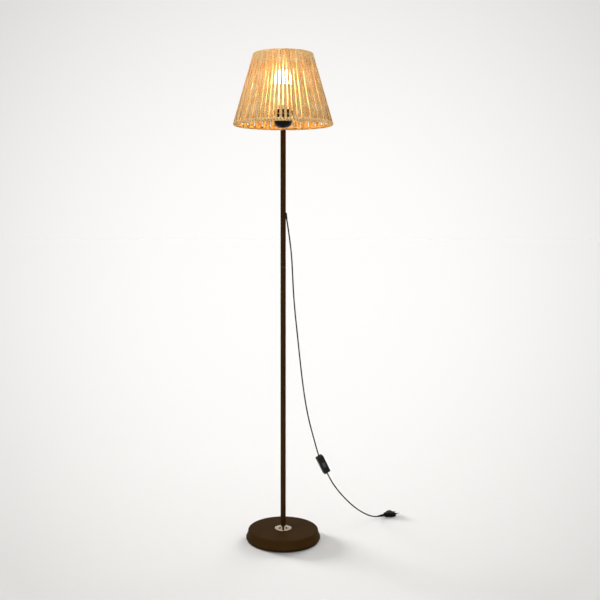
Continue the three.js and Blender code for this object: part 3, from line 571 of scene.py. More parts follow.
def foam_pad():
    foam = Shader("foam_pad")
    cells = foam.node("ShaderNodeTexVoronoi", {"Vector": foam.place(), "Scale": 900.0}).outputs["Distance"]
    foam.tint(cells, (0.008, 0.008, 0.008), (0.028, 0.027, 0.026), (0.1, 0.7))
    foam.roughen(cells, 0.8, 0.95)
    foam.bump(cells, 0.5, 0.3 * MM)
    return foam.material


def glowing_dome():
    glow = {"Emission Color": (1.0, 0.82, 0.56, 1.0), "Emission Strength": 105.0}
    dome = Shader("glowing_dome", {"Roughness": 0.35, **glow})
    frost = dome.noise(500.0)
    dome.tint(frost, (0.88, 0.86, 0.8), (0.95, 0.93, 0.88))
    dome.bump(frost, 0.05, 0.05 * MM)
    return dome.material


def collar_painted_glow():
    """White plastic with a painted glow, as though lit by the dome, brightest next to it."""
    low, top = node_size("bulb_collar")[1:]
    collar = Shader("collar_painted_glow", {"Roughness": 0.4, "Emission Color": (1.0, 0.84, 0.5, 1.0)})
    # Painted glow: emission that rises towards the dome
    collar.wear("Emission Strength", collar.mapped(collar.height(), 0.7, 1.7, low, top))
    collar.tint(collar.noise(60.0), (0.76, 0.73, 0.66), (0.84, 0.82, 0.77))
    return collar.material


def frame_wire():
    wire = Shader("frame_wire", {"IOR": 1.5})
    patches = wire.noise(70.0, 4.0)
    wire.tint(patches, *shades((0.5, 0.34, 0.18), 0.8, 1.1))
    wire.roughen(patches, 0.42, 0.55)
    wire.bump(wire.noise(1500.0, 2.0), 0.12, 0.15 * MM)
    return wire.material


def jute():
    """Twisted fibres: streaks that wind round each yarn, from its own place and angle. Painted shade darkens
    the valleys between yarns and the inward faces near the mouth; painted light brightens the top and the
    bottom rim.
    """
    fibre = Shader("jute", {"Sheen Weight": 0.25, "Sheen Roughness": 0.5, "Specular IOR Level": 0.25})
    place = fibre.node("ShaderNodeAttribute", attribute_name="yarn_place").outputs["Vector"]
    along, angle, yarn = fibre.node("ShaderNodeSeparateXYZ", {0: place}).outputs
    twist = fibre.math("ADD", angle, fibre.math("DIVIDE", along, FIBRE_LAY))
    stretched = fibre.node("ShaderNodeCombineXYZ", {
        0: fibre.math("MULTIPLY", along, 90.0),
        1: fibre.math("MULTIPLY", twist, 7.0),
        2: fibre.math("MULTIPLY", yarn, 37.0),
    })
    streaks = fibre.noise(1.0, 4.0, stretched.outputs["Vector"], 0.65)
    patches = fibre.noise(38.0)
    mixed = fibre.math("ADD", fibre.math("MULTIPLY", streaks, 0.65), fibre.math("MULTIPLY", patches, 0.35))
    bright = fibre.ramp(mixed, [
        (0.28, (0.52, 0.27, 0.075)),
        (0.42, (0.87, 0.56, 0.195)),
        (0.54, (0.945, 0.718, 0.348)),
        (0.66, (0.975, 0.88, 0.628)),
    ])
    lift = fibre.node("ShaderNodeAttribute", attribute_name="yarn_lift").outputs["Fac"]
    height = fibre.height()
    low, high = (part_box(ring)[0][2] for ring in ("bottom_ring", "top_ring"))
    # Painted shade: the valleys between yarns are darker and deeper in colour
    depth = fibre.mapped(lift, 2.1, 0.96, *PAINTED_SHADE_LIFTS)
    bright = fibre.node("ShaderNodeGamma", {"Color": bright, "Gamma": depth}).outputs["Color"]
    painted_light_and_tone = fibre.mapped(lift, 0.4, 1.15, *PAINTED_SHADE_LIFTS)
    for other in (
        fibre.mapped(fibre.math("FRACT", yarn, 0.0), 0.84, 1.1),
        # Painted light: lighter towards the top ring, darker towards the bottom
        fibre.mapped(height, 0.94, 1.1, low, high),
        # Painted light: paler along the bottom rim
        fibre.mapped(height, 1.2, 1.0, low + RIM_PAINTED_LIGHT[0], low + RIM_PAINTED_LIGHT[1]),
    ):
        painted_light_and_tone = fibre.math("MULTIPLY", painted_light_and_tone, other)
    colour = fibre.vector("SCALE", {0: bright, "Scale": painted_light_and_tone})
    # Painted shade: inward faces near the mouth are deeper in colour
    inner = fibre.painted_shade_inside(colour, height, low + MOUTH_PAINTED_SHADE[0], low + MOUTH_PAINTED_SHADE[1], (0.84, 0.7, 0.4))
    fibre.wear("Base Color", inner)
    fibre.let_light_through(0.36, colour)
    fibre.roughen(streaks, 0.75, 0.95)
    fibre.bump(streaks, 0.6, 0.4 * MM)
    return fibre.material


def cord_jacket():
    jacket = Shader("cord_jacket", {"Specular IOR Level": 0.05})
    scuffs = jacket.noise(180.0, 5.0)
    jacket.tint(scuffs, (0.010, 0.009, 0.008), (0.02, 0.018, 0.016), (0.35, 0.7))
    jacket.roughen(scuffs, 0.42, 0.6)
    jacket.bump(jacket.noise(1100.0), 0.1, 0.1 * MM)
    return jacket.material


materials = {
    "bronze_paint": bronze_paint(),
    "polished_metal": polished_metal(),
    "black_plastic": moulded_plastic("black_plastic", (0.005, 0.0045, 0.004), 0.4, 0.05, 900.0, 0.25),
    "black_gloss": moulded_plastic("black_gloss", (0.007, 0.007, 0.0085), 0.3, 0.15),
    "socket_moulding": moulded_plastic("socket_moulding", (0.6, 0.57, 0.5), 0.45),
    "white_plastic": collar_painted_glow(),
    "brass": brushed_metal("brass", (0.62, 0.43, 0.16), 0.32),
    "zinc_steel": brushed_metal("zinc_steel", (0.5, 0.5, 0.5), 0.4),
    "nickel_cap": brushed_metal("nickel_cap", (0.62, 0.61, 0.59), 0.28),
    "cast_iron": cast_iron(),
    "foam_pad": foam_pad(),
    "bulb_diffuser": glowing_dome(),
    "frame_wire": frame_wire(),
    "jute_rope": jute(),
    "cord_jacket": cord_jacket(),
}
polished_plastic = moulded_plastic("polished_plastic", (0.03, 0.03, 0.034), 0.2, 0.6)
cup_lacquer = moulded_plastic("cup_lacquer", (0.0045, 0.0038, 0.0035), 0.3, 0.1)


def finish_cad_nodes():
    """Gives each CAD node the finish of its slot in the record."""
    for part in frame["record"]["subparts"]:
        node = frame["nodes"][part["node"]]
        node.data.materials.clear()
        node.data.materials.append(materials[part["material_slot"]])


# Camera

def make_camera():
    data = bpy.data.cameras.new("camera")
    data.sensor_width = SENSOR_WIDTH
    data.lens = SENSOR_WIDTH * FOCAL_PIXELS / PHOTO_WIDTH
    data.shift_x = AXIS_LEFT_OF_MIDDLE_PIXELS / PHOTO_WIDTH
    camera = bpy.data.objects.new("camera", data)
    camera.location = (0, -CAMERA_BACK, CAMERA_HEIGHT)
    camera.rotation_euler = (math.pi / 2 - CAMERA_TILT, 0, 0)
    scene.collection.objects.link(camera)
    scene.camera = camera


# Lead and what is on it

def in_cord_plane(reach, height):
    return Vector((reach * math.cos(SWING), reach * math.sin(SWING), height))


def route_point(point):
    reach, height = point
    return in_cord_plane(reach * MM, height * MM)


def smooth_route(route):
    """A centripetal curve through the route's points, as points in metres."""
    ends = [route_point(point) for point in route]
    points = [2 * ends[0] - ends[1], *ends, 2 * ends[-1] - ends[-2]]
    made = []
    for p0, p1, p2, p3 in zip(points, points[1:], points[2:], points[3:]):
        t1 = (p1 - p0).length ** 0.5
        t2 = t1 + (p2 - p1).length ** 0.5
        t3 = t2 + (p3 - p2).length ** 0.5
        for i in range(CORD_STEPS):
            t = t1 + (t2 - t1) * i / CORD_STEPS
            a1 = p0.lerp(p1, t / t1)
            a2 = p1.lerp(p2, (t - t1) / (t2 - t1))
            a3 = p2.lerp(p3, (t - t2) / (t3 - t2))
            made.append(a1.lerp(a2, t / t2).lerp(a2.lerp(a3, (t - t1) / (t3 - t1)), (t - t1) / (t2 - t1)))
    return made + [ends[-1]]


def route_length(points):
    return sum((b - a).length for a, b in zip(points, points[1:]))


def make_cord(name, route, node):
    points = smooth_route(route)
    curve = bpy.data.curves.new(name, "CURVE")
    curve.dimensions = "3D"
    curve.bevel_depth = CORD_RADIUS
    curve.bevel_resolution = 4
    curve.use_fill_caps = True
    spline = curve.splines.new("POLY")
    spline.points.add(len(points) - 1)
    for point, place_on_route in zip(spline.points, points):
        point.co = (*place_on_route, 1.0)
    spline.use_smooth = True
    cord = bpy.data.objects.new(name, curve)
    scene.collection.objects.link(cord)
    return place(cord, "stand", "cord_jacket", node), points


def make_outlet():
    """A tapered boot with grooves, from its mouth up to where it enters the pole."""
    mouth = route_point(UPPER_CORD_ROUTE[0])
    up = in_cord_plane(-math.sin(OUTLET_LEAN), math.cos(OUTLET_LEAN))
    lip, ribs_end = 0.6 * MM, OUTLET_LENGTH * OUTLET_RIBBED_SHARE
    stations = [
        (0.0, OUTLET_MOUTH_RADIUS - lip),
        (lip / 3, OUTLET_MOUTH_RADIUS - lip / 3),
        (lip, OUTLET_MOUTH_RADIUS),
        *ribbed(lip, ribs_end, OUTLET_MOUTH_RADIUS, OUTLET_TOP_RADIUS, OUTLET_RIBS, OUTLET_GROOVE),
    ]
    for angle in quarter(6)[1:]:
        x = ribs_end + (OUTLET_LENGTH - ribs_end) * math.sin(angle)
        stations.append((x, max(OUTLET_TOP_RADIUS * math.cos(angle), MM / 10)))
    boot = turned_bar("outlet_boot", mouth, mouth + up * OUTLET_LENGTH, stations, SMALL_ROUND)
    return place(boot, "stand", "black_plastic", "cord_outlet")


def switch_frame():
    u = in_cord_plane(math.cos(SWITCH_LEAN), -math.sin(SWITCH_LEAN)).normalized()
    face = Matrix.Rotation(SWITCH_TWIST, 3, u) @ Vector((math.sin(SWING), -math.cos(SWING), 0))
    middle = route_point(UPPER_CORD_ROUTE[-1]) + u * (SEAT_GAP + SWITCH_LENGTH / 2)
    return frame_at(middle, u, face)


def case_ring(inset, height):
    outline = rounded_rectangle(SWITCH_LENGTH / 2 - inset, SWITCH_WIDTH / 2 - inset, SWITCH_CORNER - inset)
    return [(u, v, height) for u, v in outline]


def case_rings(side):
    """Rings of one case half, from inside the split round the outside to its face."""
    shoulder = SWITCH_DEPTH / 2 - SWITCH_EDGE
    rings = [
        case_ring(SWITCH_WALL, SWITCH_SPLIT), case_ring(SWITCH_SPLIT, SWITCH_SPLIT),
        case_ring(0, 2 * SWITCH_SPLIT), case_ring(0, shoulder),
    ]
    for angle in quarter(5)[1:]:
        rings.append(case_ring(SWITCH_EDGE * (1 - math.cos(angle)), shoulder + SWITCH_EDGE * math.sin(angle)))
    return [[(u, v, side * w) for u, v, w in ring] for ring in rings]


def window_ring(inset, height):
    half_u = ROCKER_RADIUS + ROCKER_ARC_GAP - inset
    half_v = ROCKER_WIDTH / 2 + ROCKER_SIDE_GAP - inset
    return [(u, v, height) for u, v in rounded_rectangle(half_u, half_v, WINDOW_CORNER)]


def make_switch(turn):
    top = SWITCH_DEPTH / 2
    inside = top - SWITCH_WALL
    front = loft("switch_face", case_rings(1) + [
        window_ring(-3 * WINDOW_LIP, top), window_ring(-WINDOW_LIP, top - WINDOW_LIP / 3),
        window_ring(0, top - WINDOW_LIP), window_ring(0, inside), case_ring(SWITCH_WALL, inside),
    ], loop=True, turn=turn)
    place(front, "stand", "black_gloss", "switch_front")
    back = loft("switch_shell", [case_ring(SWITCH_WALL, -inside)] + case_rings(-1), turn=turn)
    sinks = []
    for side in (1, -1):
        start, end = (
            turn @ Vector((side * SCREW_PLACE[0], -side * SCREW_PLACE[1], depth - top))
            for depth in (-SCREW_RECESS_DEPTH, SCREW_RECESS_DEPTH)
        )
        sinks.append(plain_bar("sink", start, end, SCREW_RECESS_RADIUS, SMALL_ROUND))
    carve(back, sinks)
    return [front, place(back, "stand", "black_gloss", "switch_back")]


def rocker_outline():
    """The rocker's side view: round ends about the pin and a hollow top."""
    low = math.degrees(math.asin(ROCKER_UNDERSIDE / ROCKER_RADIUS))
    right = arc((0, 0), ROCKER_RADIUS, -low, math.degrees(ROCKER_TOP_ANGLE), 10)
    end_u, end_w = right[-1]
    hollow = []
    steps = 16
    for i in range(1, steps):
        u = end_u * (1 - 2 * i / steps)
        hollow.append((u, ROCKER_VALLEY + (end_w - ROCKER_VALLEY) * abs(u / end_u) ** 1.6))
    return right + hollow + [(-u, w) for u, w in reversed(right)]


def make_rocker(turn):
    layers = slab_layers(rocker_outline(), ROCKER_WIDTH, ROCKER_EDGE, 3)
    rings = [[(u, v, w) for u, w in points] for points, v in layers]
    pin = Matrix.Translation((0, 0, SWITCH_DEPTH / 2 - ROCKER_PIN_DROP))
    rocker = loft("rocker_cap", rings, turn=turn @ pin @ Matrix.Rotation(-ROCKER_REST, 4, "Y"))
    return place(rocker, "rocker", "black_gloss", "rocker", material=polished_plastic)


def plug_outline():
    """Half of the plug seen from above, mirrored: a narrow back that widens to the front face."""
    half = PLUG_WIDTH / 2
    neck = PLUG_NECK_WIDTH / 2
    side = [
        (0.0, neck * 0.55), (0.02, neck * 0.9), (0.1, neck * 1.08), (0.22, neck * 1.25), (0.36, neck * 1.62),
        (0.48, half * 0.84), (0.58, half * 0.95), (0.7, half * 0.995), (0.85, half), (0.96, half * 0.985),
        (0.99, half * 0.955), (1.0, half * 0.9),
    ]
    lower = [(x * PLUG_LENGTH, -y) for x, y in side]
    return lower + [(x, -y) for x, y in reversed(lower)]


def make_prong(number, y, front, turn):
    """A pin of the plug, and the plastic sleeve round its root."""
    root, sleeve_end, tip = (
        turn @ Vector((front + reach, y, 0))
        for reach in (-PIN_ROOT, PIN_LENGTH * PIN_SLEEVE_SHARE, PIN_LENGTH)
    )
    stations = round_ended((tip - root).length, PIN_RADIUS, PIN_EDGE)
    pin = turned_bar(f"plug_prong_{number}", root, tip, stations)
    place(pin, "stand", "nickel_cap", f"plug_pin_{number}")
    sleeve = plain_bar(f"plug_sleeve_{number}", root, sleeve_end, PIN_SLEEVE_RADIUS)
    return [pin, place(sleeve, "stand", "black_plastic")]


def make_plug():
    turn = frame_at(route_point(LOWER_CORD_ROUTE[-1]), in_cord_plane(1, 0), (0, 0, 1))
    start = 2 * SEAT_GAP + RELIEF_LENGTH
    layers = slab_layers(plug_outline(), PLUG_THICKNESS, PLUG_EDGE, 6)
    body = loft("plug_shell", [[(start + x, y, z) for x, y in points] for points, z in layers], turn=turn)
    place(body, "stand", "black_plastic", "plug_body")
    stations = [
        (0.0, RELIEF_TIP_RADIUS * 0.8), (RELIEF_EDGE, RELIEF_TIP_RADIUS),
        *ribbed(RELIEF_EDGE, RELIEF_LENGTH, RELIEF_TIP_RADIUS, RELIEF_RADIUS, RELIEF_RIBS, RELIEF_GROOVE),
        (RELIEF_LENGTH + RELIEF_OVERLAP, RELIEF_RADIUS),
    ]
    ends = [turn @ Vector((SEAT_GAP + x, 0, 0)) for x in (0, RELIEF_LENGTH)]
    relief = turned_bar("plug_boot", *ends, stations, SMALL_ROUND)
    pieces = [body, place(relief, "stand", "black_plastic", "plug_relief")]
    for k, side in enumerate((-1, 1)):
        pieces += make_prong(k + 1, side * PIN_SPACING / 2, start + PLUG_LENGTH, turn)
    return pieces


def make_lead():
    upper, upper_points = make_cord("lead_upper", UPPER_CORD_ROUTE, "cord_upper")
    lower, lower_points = make_cord("lead_lower", LOWER_CORD_ROUTE, "cord_lower")
    turn = switch_frame()
    outlet = make_outlet()
    case = make_switch(turn)
    rocker = make_rocker(turn)
    plug = make_plug()
    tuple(upper_points[0])
    route_length(upper_points)
    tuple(lower_points[0])
    route_length(lower_points)


# Base and pole

def make_base():
    """The cover, with a skirt that leans in and bows a little between two round edges, and the pad below."""
    radius, low, top = node_size("base_cover")
    foot, shoulder, wall, lean, hollow = 9 * MM, 5 * MM, 1.5 * MM, 6.5 * MM, 0.8 * MM
    skirt_low, skirt_high = low + foot, top - shoulder
    skirt = []
    steps = 12
    for i in range(steps):
        share = i / steps
        dip = hollow * 4 * share * (1 - share)
        skirt.append((radius - lean * share - dip, skirt_low + (skirt_high - skirt_low) * share))
    cover = revolve("base_shell", [
        *arc((radius - foot, skirt_low), foot, -80, 0, 6)[:-1],
        *skirt,
        *arc((radius - lean - shoulder, skirt_high), shoulder, 0, 90, 8),
        (radius * 0.8, top), (radius * 0.4, top), (STUD_BORE, top),
        (STUD_BORE, top - wall), (radius - lean - shoulder, top - wall),
        (radius - lean - wall, skirt_high), (radius - wall, skirt_low), (radius - foot, low + wall / 2),
    ], segments=144)
    place(cover, "stand", "bronze_paint", "base_cover")
    place(washer("floor_pad", "base_pad", PAD_HOLE, edge=0.8 * MM), "stand", "foam_pad", "base_pad")


def make_rosette():
    """A cone that climbs the pole a little way, with four sunk dark screws that stand for dark reflections
    beside the pole's foot: painted reflection.
    """
    radius, low, top = node_size("rosette")
    hub = node_size("pole_lower")[0] + 0.2 * MM
    edge, wall = 1.2 * MM, 1 * MM
    rim = edge / 2
    foot, crown = low + edge, top + ROSETTE_CLIMB
    cone = []
    for k in range(ROSETTE_STEPS + 1):
        share = k / ROSETTE_STEPS
        cone.append((radius - rim + (hub - radius + rim) * share, foot + (crown - foot) * share))
    rosette = revolve("rosette_dome", [
        (radius - rim, low), *arc((radius - rim, low + rim), rim, -90, 90, 8)[1:-1], *cone,
        (hub, top), (STUD_BORE, top), (STUD_BORE, top - wall), (hub, top - wall),
        (radius - 4 * wall, low + wall / 4),
    ])
    drills = []
    # Painted reflection: dark screws where the rosette shows dark reflections
    for k, (side, end) in enumerate([(1, 1), (1, -1), (-1, 1), (-1, -1)]):
        x, y = side * ROSETTE_HOLE_ACROSS, end * ROSETTE_HOLE_ALONG
        drills.append(plain_bar("drill", (x, y, low - wall), (x, y, crown + wall), ROSETTE_HOLE_RADIUS))
        head = [(0, 1), (0.6, 1), (1, 0.8), (1.2, 0.45), (0.7, 0.4)]  # with a hollow for the driver
        stations = [(edge * x_share, ROSETTE_SCREW_RADIUS * share) for x_share, share in head]
        screw = turned_bar(f"rosette_screw_painted_reflection_{k + 1}", (x, y, low), (x, y, foot + wall), stations)
        place(screw, "stand", "black_plastic")
    carve(rosette, drills)
    place(rosette, "stand", "polished_metal", "rosette")


def make_pole():
    """Three tubes, and the cap that closes the last one."""
    for part in ("lower", "middle", "upper"):
        node = f"pole_{part}"
        bore = node_size(node)[0] * POLE_BORE_SHARE
        tube = washer(f"pole_tube_{part}", node, bore, edge=0.25 * MM, steps=3, segments=64)
        place(tube, "stand", "bronze_paint", node)
    radius, low, top = node_size("top_insert")
    flange, edge, stem = 1.5 * MM, 0.4 * MM, 6.9 * MM
    cap = revolve("pole_cap", [
        (NIPPLE_BORE, low), (stem, low), (stem, top - flange), (radius, top - flange),
        *arc((radius - edge, top - edge), edge, 0, 90, 4), (NIPPLE_BORE, top),
    ], 64)
    place(cap, "stand", "bronze_paint", "top_insert")


# Neck, lampholder and bulb

def make_neck():
    """A collar with a bead and a funnel-shaped waist."""
    radius, low, top = node_size("neck_collar")
    edge, bead = 0.5 * MM, 0.7 * MM
    neck = revolve("neck_sleeve", [
        (NIPPLE_BORE, low), *arc((radius - edge, low + edge), edge, -90, 0, 4),
        (radius, low + 2 * bead), *arc((radius - bead / 2, low + 3 * bead), bead / 2, -60, 60, 6),
        (radius - 2.4 * bead, low + 4 * bead), (radius - bead / 3, top - 3 * bead), (radius, top - 2 * bead),
        *arc((radius - edge, top - edge), edge, 0, 90, 4), (NIPPLE_BORE, top),
    ], SMALL_ROUND)
    place(neck, "stand", "polished_metal", "neck_collar")


def make_cup():
    """A bowl with a round lip, open at the top."""
    radius, low, top = node_size("holder_cup")
    flat, dome, wall = 9 * MM, 18.7 * MM, 1.2 * MM
    lip = wall / 2
    cup = revolve("cup_shell", [
        (STUD_BORE, low), *arc((flat, low + dome), (radius - flat, dome), -90, 0, 20),
        *arc((radius - lip, top - lip), lip, 0, 180, 8),
        *arc((flat, low + dome), (radius - flat - wall, dome - wall), 0, -90, 16), (STUD_BORE, low + wall),
    ])
    place(cup, "stand", "black_gloss", "holder_cup", material=cup_lacquer)


def threaded(pitch, depth, low, high, radius):
    """Moves the points of a profile that lie on the outside between two heights into a helical thread."""
    def warp(r, z, angle):
        if r < radius - depth / 2 or not low <= z <= high:
            return r, z
        fade = min(1.0, (z - low) / pitch, (high - z) / pitch)
        wave = 0.5 + 0.5 * math.cos(TURN * (z / pitch) - angle)
        return r - depth * wave ** 0.8 * fade, z
    return warp


def climb(radius, low, high, step):
    """Points up a straight wall, close enough together to carry a thread."""
    count = max(2, round((high - low) / step))
    return [(radius, low + (high - low) * i / count) for i in range(count + 1)]


def make_holder():
    """The holder's body: a plain foot, a shoulder that carries the shade, and a thread above it."""
    shoulder_radius, low, top = node_size("holder_body")
    radius = HOLDER_RADIUS
    shoulder_low, shoulder_top = low + HOLDER_SHOULDER[0], low + HOLDER_SHOULDER[1]
    wall, edge, pitch, depth = 3 * MM, 0.8 * MM, 3 * MM, 0.55 * MM
    thread_low = shoulder_top + 1 * MM
    body = revolve("holder_sleeve", [
        (radius - wall, low), (radius - edge, low), (radius, low + edge), (radius, shoulder_low),
        (shoulder_radius - edge, shoulder_low), (shoulder_radius, shoulder_low + edge),
        *arc((shoulder_radius - edge, shoulder_top - edge), edge, 0, 90, 4),
        (radius, shoulder_top), *climb(radius, thread_low, top - edge, 0.5 * MM),
        *arc((radius - edge, top - edge), edge, 20, 90, 4), (radius - wall, top),
    ], warp=threaded(pitch, depth, thread_low, top - edge, radius))
    place(body, "stand", "black_plastic", "holder_body")


def make_ring_nut():
    """The ribbed nut that clamps the shade on the holder."""
    radius, low, top = node_size("ring_nut")
    bore, bevel, edge, ribs, depth = 19.8 * MM, 1.5 * MM, 0.5 * MM, 40, 0.6 * MM

    def knurl(r, z, angle):
        if r < radius - edge:
            return r, z
        return r - depth * max(0.0, math.cos(angle * ribs)) ** 0.5, z

    nut = revolve("clamp_ring", [
        (bore, low), *arc((radius - edge, low + edge), edge, -90, 0, 4),
        *climb(radius, low + 2 * edge, top - bevel - edge, 1 * MM),
        *arc((radius - bevel, top - bevel), bevel, 0, 90, 6), (bore, top),
    ], segments=ribs * 8, warp=knurl)
    place(nut, "ring_nut", "black_plastic", "ring_nut")


def make_dome():
    radius, low, top = node_size("bulb_dome")
    wall = 1.2 * MM
    outside = arc((0, low), (radius, top - low), 0, 90, 24)
    inside = arc((0, low), (radius - wall, top - low - wall), 90, 0, 20)
    dome = revolve("bulb_glow", outside + inside, segments=64)
    place(dome, "bulb", "bulb_diffuser", "bulb_dome")


def make_collar():
    """The bulb's collar: a straight neck that flares out to the dome, with a thin seam below it."""
    radius = node_size("bulb_dome")[0]
    low, top = node_size("bulb_collar")[1:]
    neck, skin, seam = 14 * MM, 1.5 * MM, 0.5 * MM
    rise = top - low
    straight = rise / 6
    flare = []
    steps = 24
    for i in range(1, steps + 1):
        share = i / steps
        width = neck + (radius - neck) * (1 - math.cos(math.pi / 2 * share)) ** 0.85
        flare.append((width, low + straight + (rise - straight - 0.6 * MM) * share))
    collar = revolve("bulb_body", [
        *climb(neck, low, low + straight, 5 * MM), *flare,
        (radius - seam, top - 0.3 * MM), (radius - seam, top),
        (radius - 2 * skin, top), (neck - skin, low + rise / 3), (neck - skin, low),
    ], segments=64)
    place(collar, "bulb", "white_plastic", "bulb_collar")


def make_bulb_cap():
    """The threaded metal end of the bulb."""
    radius, low, top = node_size("bulb_cap")
    pitch, depth, thread_low, thread_top = 3.6 * MM, 0.9 * MM, low + 2 * MM, top - 5 * MM
    cap = revolve("bulb_thread", [
        (radius * 0.6, low), (radius * 0.86, low + 0.6 * MM), *climb(radius, thread_low, top, 0.45 * MM),
        (radius * 0.9, top), (radius * 0.9, low + 3 * MM), (radius * 0.55, low + 1 * MM),
    ], segments=64, warp=threaded(pitch, depth, thread_low, thread_top, radius))
    place(cap, "bulb", "nickel_cap", "bulb_cap")


# Shade: wire frame and rope

def ring_centre(node):
    """Radius and height of the middle of a ring's wire."""
    radius, low, top = node_size(node)
    return radius - WIRE_RADIUS, (low + top) / 2


TOP_RING = ring_centre("top_ring")
BOTTOM_RING = ring_centre("bottom_ring")
CONE_LEAN = math.atan2(BOTTOM_RING[0] - TOP_RING[0], TOP_RING[1] - BOTTOM_RING[1])
WRAP_RADIUS = WIRE_RADIUS + WIRE_TO_ROPE + ROPE_THICKNESS / 2
OUTWARD = np.array([math.cos(CONE_LEAN), math.sin(CONE_LEAN)])
DOWNWARD = np.array([math.sin(CONE_LEAN), -math.cos(CONE_LEAN)])


def round_about(angle, radius, height):
    return Vector((radius * math.cos(angle), radius * math.sin(angle), height))


def open_angle(loop):
    """The angle of a slit, where a straight wire hides behind the strands."""
    return FRONT_STRAND + (loop + OPEN_SHARE) * LOOP_ANGLE


def make_wire(kind, number, start, end, radius, sides):
    """A straight wire whose ends are welded into other wires."""
    stations = round_ended((end - start).length, radius, radius * 0.6)
    wire = turned_bar(f"{kind}_wire_{number}", start, end, stations, sides)
    place(wire, "shade", "frame_wire", f"{kind}_{number}")


def make_shade_frame():
    for node, centre in (("top_ring", TOP_RING), ("bottom_ring", BOTTOM_RING)):
        wire = revolve(f"{node}_wire", arc(centre, WIRE_RADIUS, 0, 330, 11), segments=160)
        place(wire, "shade", "frame_wire", node)
    for i in range(RIBS):
        angle = open_angle(round(i * LOOPS / RIBS))
        low, high = round_about(angle, *BOTTOM_RING), round_about(angle, *TOP_RING)
        inset = (high - low).normalized() * WIRE_INSET
        make_wire("rib", i + 1, low + inset, high - inset, RIB_RADIUS, 12)
    fitter_radius, fitter_low = node_size("fitter_ring")[:2]
    for i in range(SPOKES):
        angle = open_angle(FIRST_SPOKE_LOOP + i * LOOPS / SPOKES)
        inner = round_about(angle, fitter_radius - SPOKE_RADIUS, fitter_low - SPOKE_RADIUS * 0.4)
        outer = round_about(angle, *BOTTOM_RING)
        outer += (inner - outer).normalized() * WIRE_INSET
        make_wire("spoke", i + 1, inner, outer, SPOKE_RADIUS, 16)
    fitter = washer("fitter_washer", "fitter_ring", FITTER_BORE, edge=0.5 * MM)
    place(fitter, "shade", "frame_wire", "fitter_ring")


def wrap_points(ring, first, last):
    """Rows of (radius, height, out radius, out height) about a ring's wire, between two angles."""
    count = max(2, round(abs(last - first) * WRAP_RADIUS / PLAIT_STEP))
    angles = np.linspace(first, last, count + 1)
    out_r, out_z = np.cos(angles), np.sin(angles)
    return np.column_stack([ring[0] + WRAP_RADIUS * out_r, ring[1] + WRAP_RADIUS * out_z, out_r, out_z])


def eased(share):
    """A soft step from 0 to 1."""
    share = np.clip(share, 0, 1)
    return share * share * (3 - 2 * share)


def strand_points(start, end, bow=0.0):
    """The rows between two wraps, without their ends. A strand may bow out between them."""
    count = round(math.dist(start[:2], end[:2]) / PLAIT_STEP)
    shares = np.linspace(0, 1, count + 1)[1:-1, None]
    rows = start * (1 - shares) + end * shares
    out = bow * eased(shares / BOW_LOW_SHARE) * eased((1 - shares) / BOW_HIGH_SHARE)
    rows[:, :2] += out * OUTWARD
    return rows


def loop_rows():
    """One loop of rope: over the top ring, down outside, about the bottom ring and up inside.

    Two columns follow the points': the turn about the lamp, in loops from the outside strand,
    and 0 on the rings, 1 on the outside strand and 2 on the inside one.
    """
    over = wrap_points(TOP_RING, CONE_LEAN + math.pi, CONE_LEAN)
    under = wrap_points(BOTTOM_RING, CONE_LEAN, CONE_LEAN - TURN * BOTTOM_TURNS)
    down = strand_points(over[-1], under[0])
    up = strand_points(under[-1], over[0], INNER_BOW)
    turns = [
        np.linspace(-0.5, 0, len(over)), np.zeros(len(down)),
        np.linspace(0, 0.5, len(under)), np.full(len(up), 0.5),
    ]
    strands = [np.zeros(len(over)), np.ones(len(down)), np.zeros(len(under)), np.full(len(up), 2)]
    rows = np.vstack([over, down, under, up])
    return np.column_stack([rows, np.concatenate(turns), np.concatenate(strands)])


def smoothed(values, width):
    """A moving average that keeps its length."""
    padded = np.pad(values, width, mode="edge")
    kernel = np.ones(2 * width + 1) / (2 * width + 1)
    return np.convolve(padded, kernel, mode="valid")


def loop_numbers(rope):
    loops = LOOPS // ROPES
    return range(rope * loops, (rope + 1) * loops)


def rope_path(rope):
    """Middle line of one rope and its outward directions."""
    one = loop_rows()
    angles = []
    for number in loop_numbers(rope):
        strays = np.array([0.0, STRAY[2 * number], STRAY[2 * number + 1]])
        angles.append(FRONT_STRAND + (number + one[:, 4] + strays[one[:, 5].astype(int)]) * LOOP_ANGLE)
    rows = np.vstack([one[:, :4]] * len(angles))
    return to_space(rows, smoothed(np.concatenate(angles), PATH_SMOOTHING))


def to_space(rows, angles):
    """Centres and outward directions of rows that are turned about the lamp by their angles."""
    radius, height, out_r, out_z = rows.T
    cos, sin = np.cos(angles), np.sin(angles)
    centres = np.column_stack([radius * cos, radius * sin, height])
    outs = np.column_stack([out_r * cos, out_r * sin, out_z])
    return centres, outs


def cover_rows():
    """A short piece of rope that carries an inner strand on over the outside of the top ring."""
    over = wrap_points(TOP_RING, CONE_LEAN, CONE_LEAN + math.pi)
    count = round(COVER_LENGTH / PLAIT_STEP)
    shares = np.linspace(1, 1 / count, count)[:, None]
    rise = np.repeat(over[:1], count, axis=0)
    rise[:, :2] += COVER_LENGTH * shares * DOWNWARD - COVER_START_DEPTH * eased(shares) * OUTWARD
    return np.vstack([rise, over])


def filler_paths(rope):
    """Short pieces of rope that fill the rings between the loops."""
    cover = cover_rows()
    under = wrap_points(BOTTOM_RING, CONE_LEAN + math.pi, CONE_LEAN - math.pi)
    for number in loop_numbers(rope):
        start = FRONT_STRAND + number * LOOP_ANGLE
        yield to_space(under, start + np.linspace(1 / 2, 5 / 6, len(under)) * LOOP_ANGLE)
        yield to_space(cover, start + np.full(len(cover), 1 / 2 + STRAY[2 * number + 1]) * LOOP_ANGLE)


def unit(vectors):
    return vectors / np.linalg.norm(vectors, axis=1, keepdims=True)


